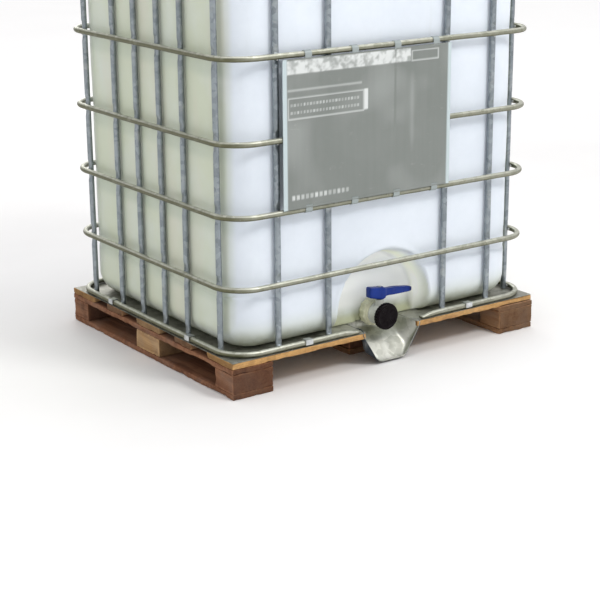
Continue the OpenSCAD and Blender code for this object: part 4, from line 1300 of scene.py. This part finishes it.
def cap_piece():
    """The dust cap: a ribbed skirt, a rounded shoulder and a dished face with eight raised bars."""
    low, high = size_of("dust_cap")
    back, front, r = high[1], low[1], high[0]
    inner, floor_y = 0.0302, front + 0.0030
    b = Builder()
    profile = [(floor_y, 0.0004), (floor_y, inner - 0.0004), (back - 0.0008, inner), (back, inner + 0.001),
               (back, r - 0.0022), (back - 0.0012, r - 0.0004), (back - 0.0070, r), (front + 0.0052, r),
               (front + 0.0034, r - 0.0006), (front + 0.0016, r - 0.0018), (front + 0.0004, r - 0.0040),
               (front, r - 0.0066), (front, r - 0.0088), (front + 0.0012, r - 0.0100),
               (front + 0.0021, r - 0.0114), (front + 0.0022, 0.0200), (front + 0.0020, 0.0120),
               (front + 0.0016, 0.0110), (front + 0.0013, 0.0100), (front + 0.0012, 0.0004)]
    revolve(b, profile, (0, 0, OUTLET_Z), steps=280, ripple=ribbed(5, 7, 0.032, 28, 0.16, 0.14))
    bars(b, np.linspace(0, 2 * math.pi, 8, endpoint=False), (0.0125, 0.0285), 5,
         lambda x, z, y: (x, y, OUTLET_Z + z), 0.0013, 0.6, front + 0.0024, front + 0.0011, False)
    fit_out(b.piece("dust_cap_ribbed", sharp=42), "dust_cap", CAP, "cap")


cap_piece()

# ---- fill lid and vent plug ----


def lid_piece():
    """The fill lid: a ribbed skirt, a raised rim, a sunk face with twelve ribs and a socket for the plug."""
    low, high = size_of("fill_lid")
    z0, z1, r = low[2], high[2], high[0]
    b = Builder()
    under, inner = size_of("lid_gasket")[1][2], 0.0824
    collar = z1 - 0.0140
    profile = [(under, 0.0345), (under - 0.0030, 0.0340), (collar + 0.0002, 0.0338), (collar, 0.0332),
               (collar, 0.0292), (collar + 0.0004, 0.0290), (z1 - 0.001, 0.0290), (z1, 0.0300), (z1, 0.0420),
               (z1 - 0.0012, 0.0436), (z1 - 0.0026, 0.0450), (z1 - 0.0028, 0.0640), (z1 - 0.0024, 0.0690),
               (z1 - 0.0008, 0.0720), (z1, 0.0740), (z1, r - 0.0080), (z1 - 0.0010, r - 0.0048),
               (z1 - 0.0030, r - 0.0018), (z1 - 0.0056, r - 0.0003), (z0 + 0.0060, r), (z0 + 0.0018, r),
               (z0 + 0.0004, r - 0.0012), (z0, r - 0.0028), (z0, inner + 0.0015), (z0 + 0.0010, inner),
               (under, inner), (under, 0.0345)]
    revolve(b, profile, (0, 0), axis="z", steps=324, ripple=ribbed(18, 20, 0.026, 36, 0.18, 0.12))
    bars(b, np.linspace(0, 2 * math.pi, 12, endpoint=False), (0.0445, 0.0735), 6,
         lambda x, y, z: (x, y, z), 0.0016, 0.6, z1 - 0.0032, z1 - 0.0004, True)
    fit_out(b.piece("fill_lid_ribbed", sharp=42), "fill_lid", LID, "lid")


lid_piece()


def plug_piece():
    """The vent plug: a threaded shank under a ribbed head with a cross bar."""
    low, high = size_of("vent_plug")
    z0, z1, r = low[2], high[2], high[0]
    under = z1 - 0.008
    b = Builder()
    profile = [(z0, 0.0003), (z0, 0.0262), (z0 + 0.0012, 0.0274)]
    half_pitch, thread_depth = 0.00115, 0.0007
    profile += [(z, 0.0284 - thread_depth * (k % 2))
                for k, z in enumerate(np.arange(z0 + 0.0024, under - 0.0015, half_pitch))]
    profile += [(under - 0.0006, 0.0284), (under, 0.0290), (under, r - 0.0016), (under + 0.0009, r - 0.0004),
                (under + 0.0020, r), (z1 - 0.0022, r), (z1 - 0.0008, r - 0.0007), (z1, r - 0.0022),
                (z1, r - 0.0080), (z1 - 0.0016, r - 0.0094), (z1 - 0.0036, r - 0.0102), (z1 - 0.0040, 0.0100),
                (z1 - 0.0038, 0.0003)]
    skirt = len(profile) - 10
    revolve(b, profile, (0, 0), axis="z", steps=240, ripple=ribbed(skirt, skirt + 2, 0.045, 20, 0.16, 0.14))
    bars(b, (0.4, 0.4 + math.pi / 2), (-0.0262, 0.0262), 9,
         lambda x, y, z: (x, y, z), 0.0030, 0.7, z1 - 0.0046, z1 - 0.0003, True)
    fit_out(b.piece("vent_plug_ribbed", sharp=42), "vent_plug", PLUG, "plug")


plug_piece()
dress("lid_gasket", SEAL)
dress("plug_ring", RED_SEAL)

# ---- floor, lights and camera ----


def floor():
    size = 60.0
    piece = new_piece("floor", [(-size, -size, 0), (size, -size, 0), (size, size, 0), (-size, size, 0)],
                      [(0, 1, 2, 3)], smooth=False)
    g = Graph("studio_floor")
    colour = g.ramp(g.noise(1.5, 4), (0.3, (0.87, 0.87, 0.865)), (0.7, (0.90, 0.90, 0.895)))
    away = g.node("ShaderNodeVectorMath", {"operation": "LENGTH"}, i0=g.place).outputs["Value"]
    g.set(Base_Color=colour, Roughness=0.8, Emission_Color=(1.0, 1.0, 1.0),
          Emission_Strength=g.span(away, 2.0, 7.0, 0.0, 0.32))
    piece.data.materials.append(g.mat)


def area_light(name, place, target, size, power, colour):
    data = bpy.data.lights.new(name, "AREA")
    data.shape, data.size, data.size_y = "RECTANGLE", size[0], size[1]
    data.energy, data.color = power, colour
    lamp = bpy.data.objects.new(name, data)
    bpy.context.scene.collection.objects.link(lamp)
    lamp.location = place
    lamp.rotation_euler = (Vector(target) - Vector(place)).to_track_quat("-Z", "Y").to_euler()


def studio():
    floor()
    area_light("key", (1.3, -4.0, 4.6), (0, 0, 0.6), (1.3, 1.1), 120, (1.0, 0.985, 0.97))
    area_light("top", (0.2, -0.4, 5.2), (0, 0, 0.5), (3.4, 3.4), 75, (1.0, 0.99, 1.0))
    area_light("left", (-4.8, 0.4, 2.4), (0, 0, 0.5), (2.4, 2.4), 12, (1.0, 1.0, 0.93))
    area_light("rear", (1.5, 4.8, 3.0), (0, 0, 0.6), (2.6, 2.2), 45, (1.0, 0.99, 0.97))
    world = bpy.data.worlds.new("studio")
    world.use_nodes = True
    world.node_tree.nodes["Background"].inputs["Color"].default_value = (0.96, 0.95, 0.96, 1)
    world.node_tree.nodes["Background"].inputs["Strength"].default_value = 0.74
    bpy.context.scene.world = world
    bpy.context.scene.view_settings.view_transform = "Standard"


def camera():
    """Where the photograph was taken from, found by fitting the cage's crossings and the pallet's corners."""
    data = bpy.data.cameras.new("camera")
    data.sensor_width, data.lens = 36.0, 94.15
    data.clip_start, data.clip_end = 0.1, 100
    camera_object = bpy.data.objects.new("camera", data)
    bpy.context.scene.collection.objects.link(camera_object)
    right = Vector((0.8146, -0.5800, -0.0073)).normalized()
    forward = Vector((0.5530, 0.7805, -0.2915)).normalized()
    up = right.cross(forward).normalized()
    right = forward.cross(up)
    turn = Matrix((right, up, -forward)).transposed().to_4x4()
    camera_object.matrix_world = Matrix.Translation((-2.95107, -4.16220, 1.63656)) @ turn
    bpy.context.scene.camera = camera_object


studio()
camera()
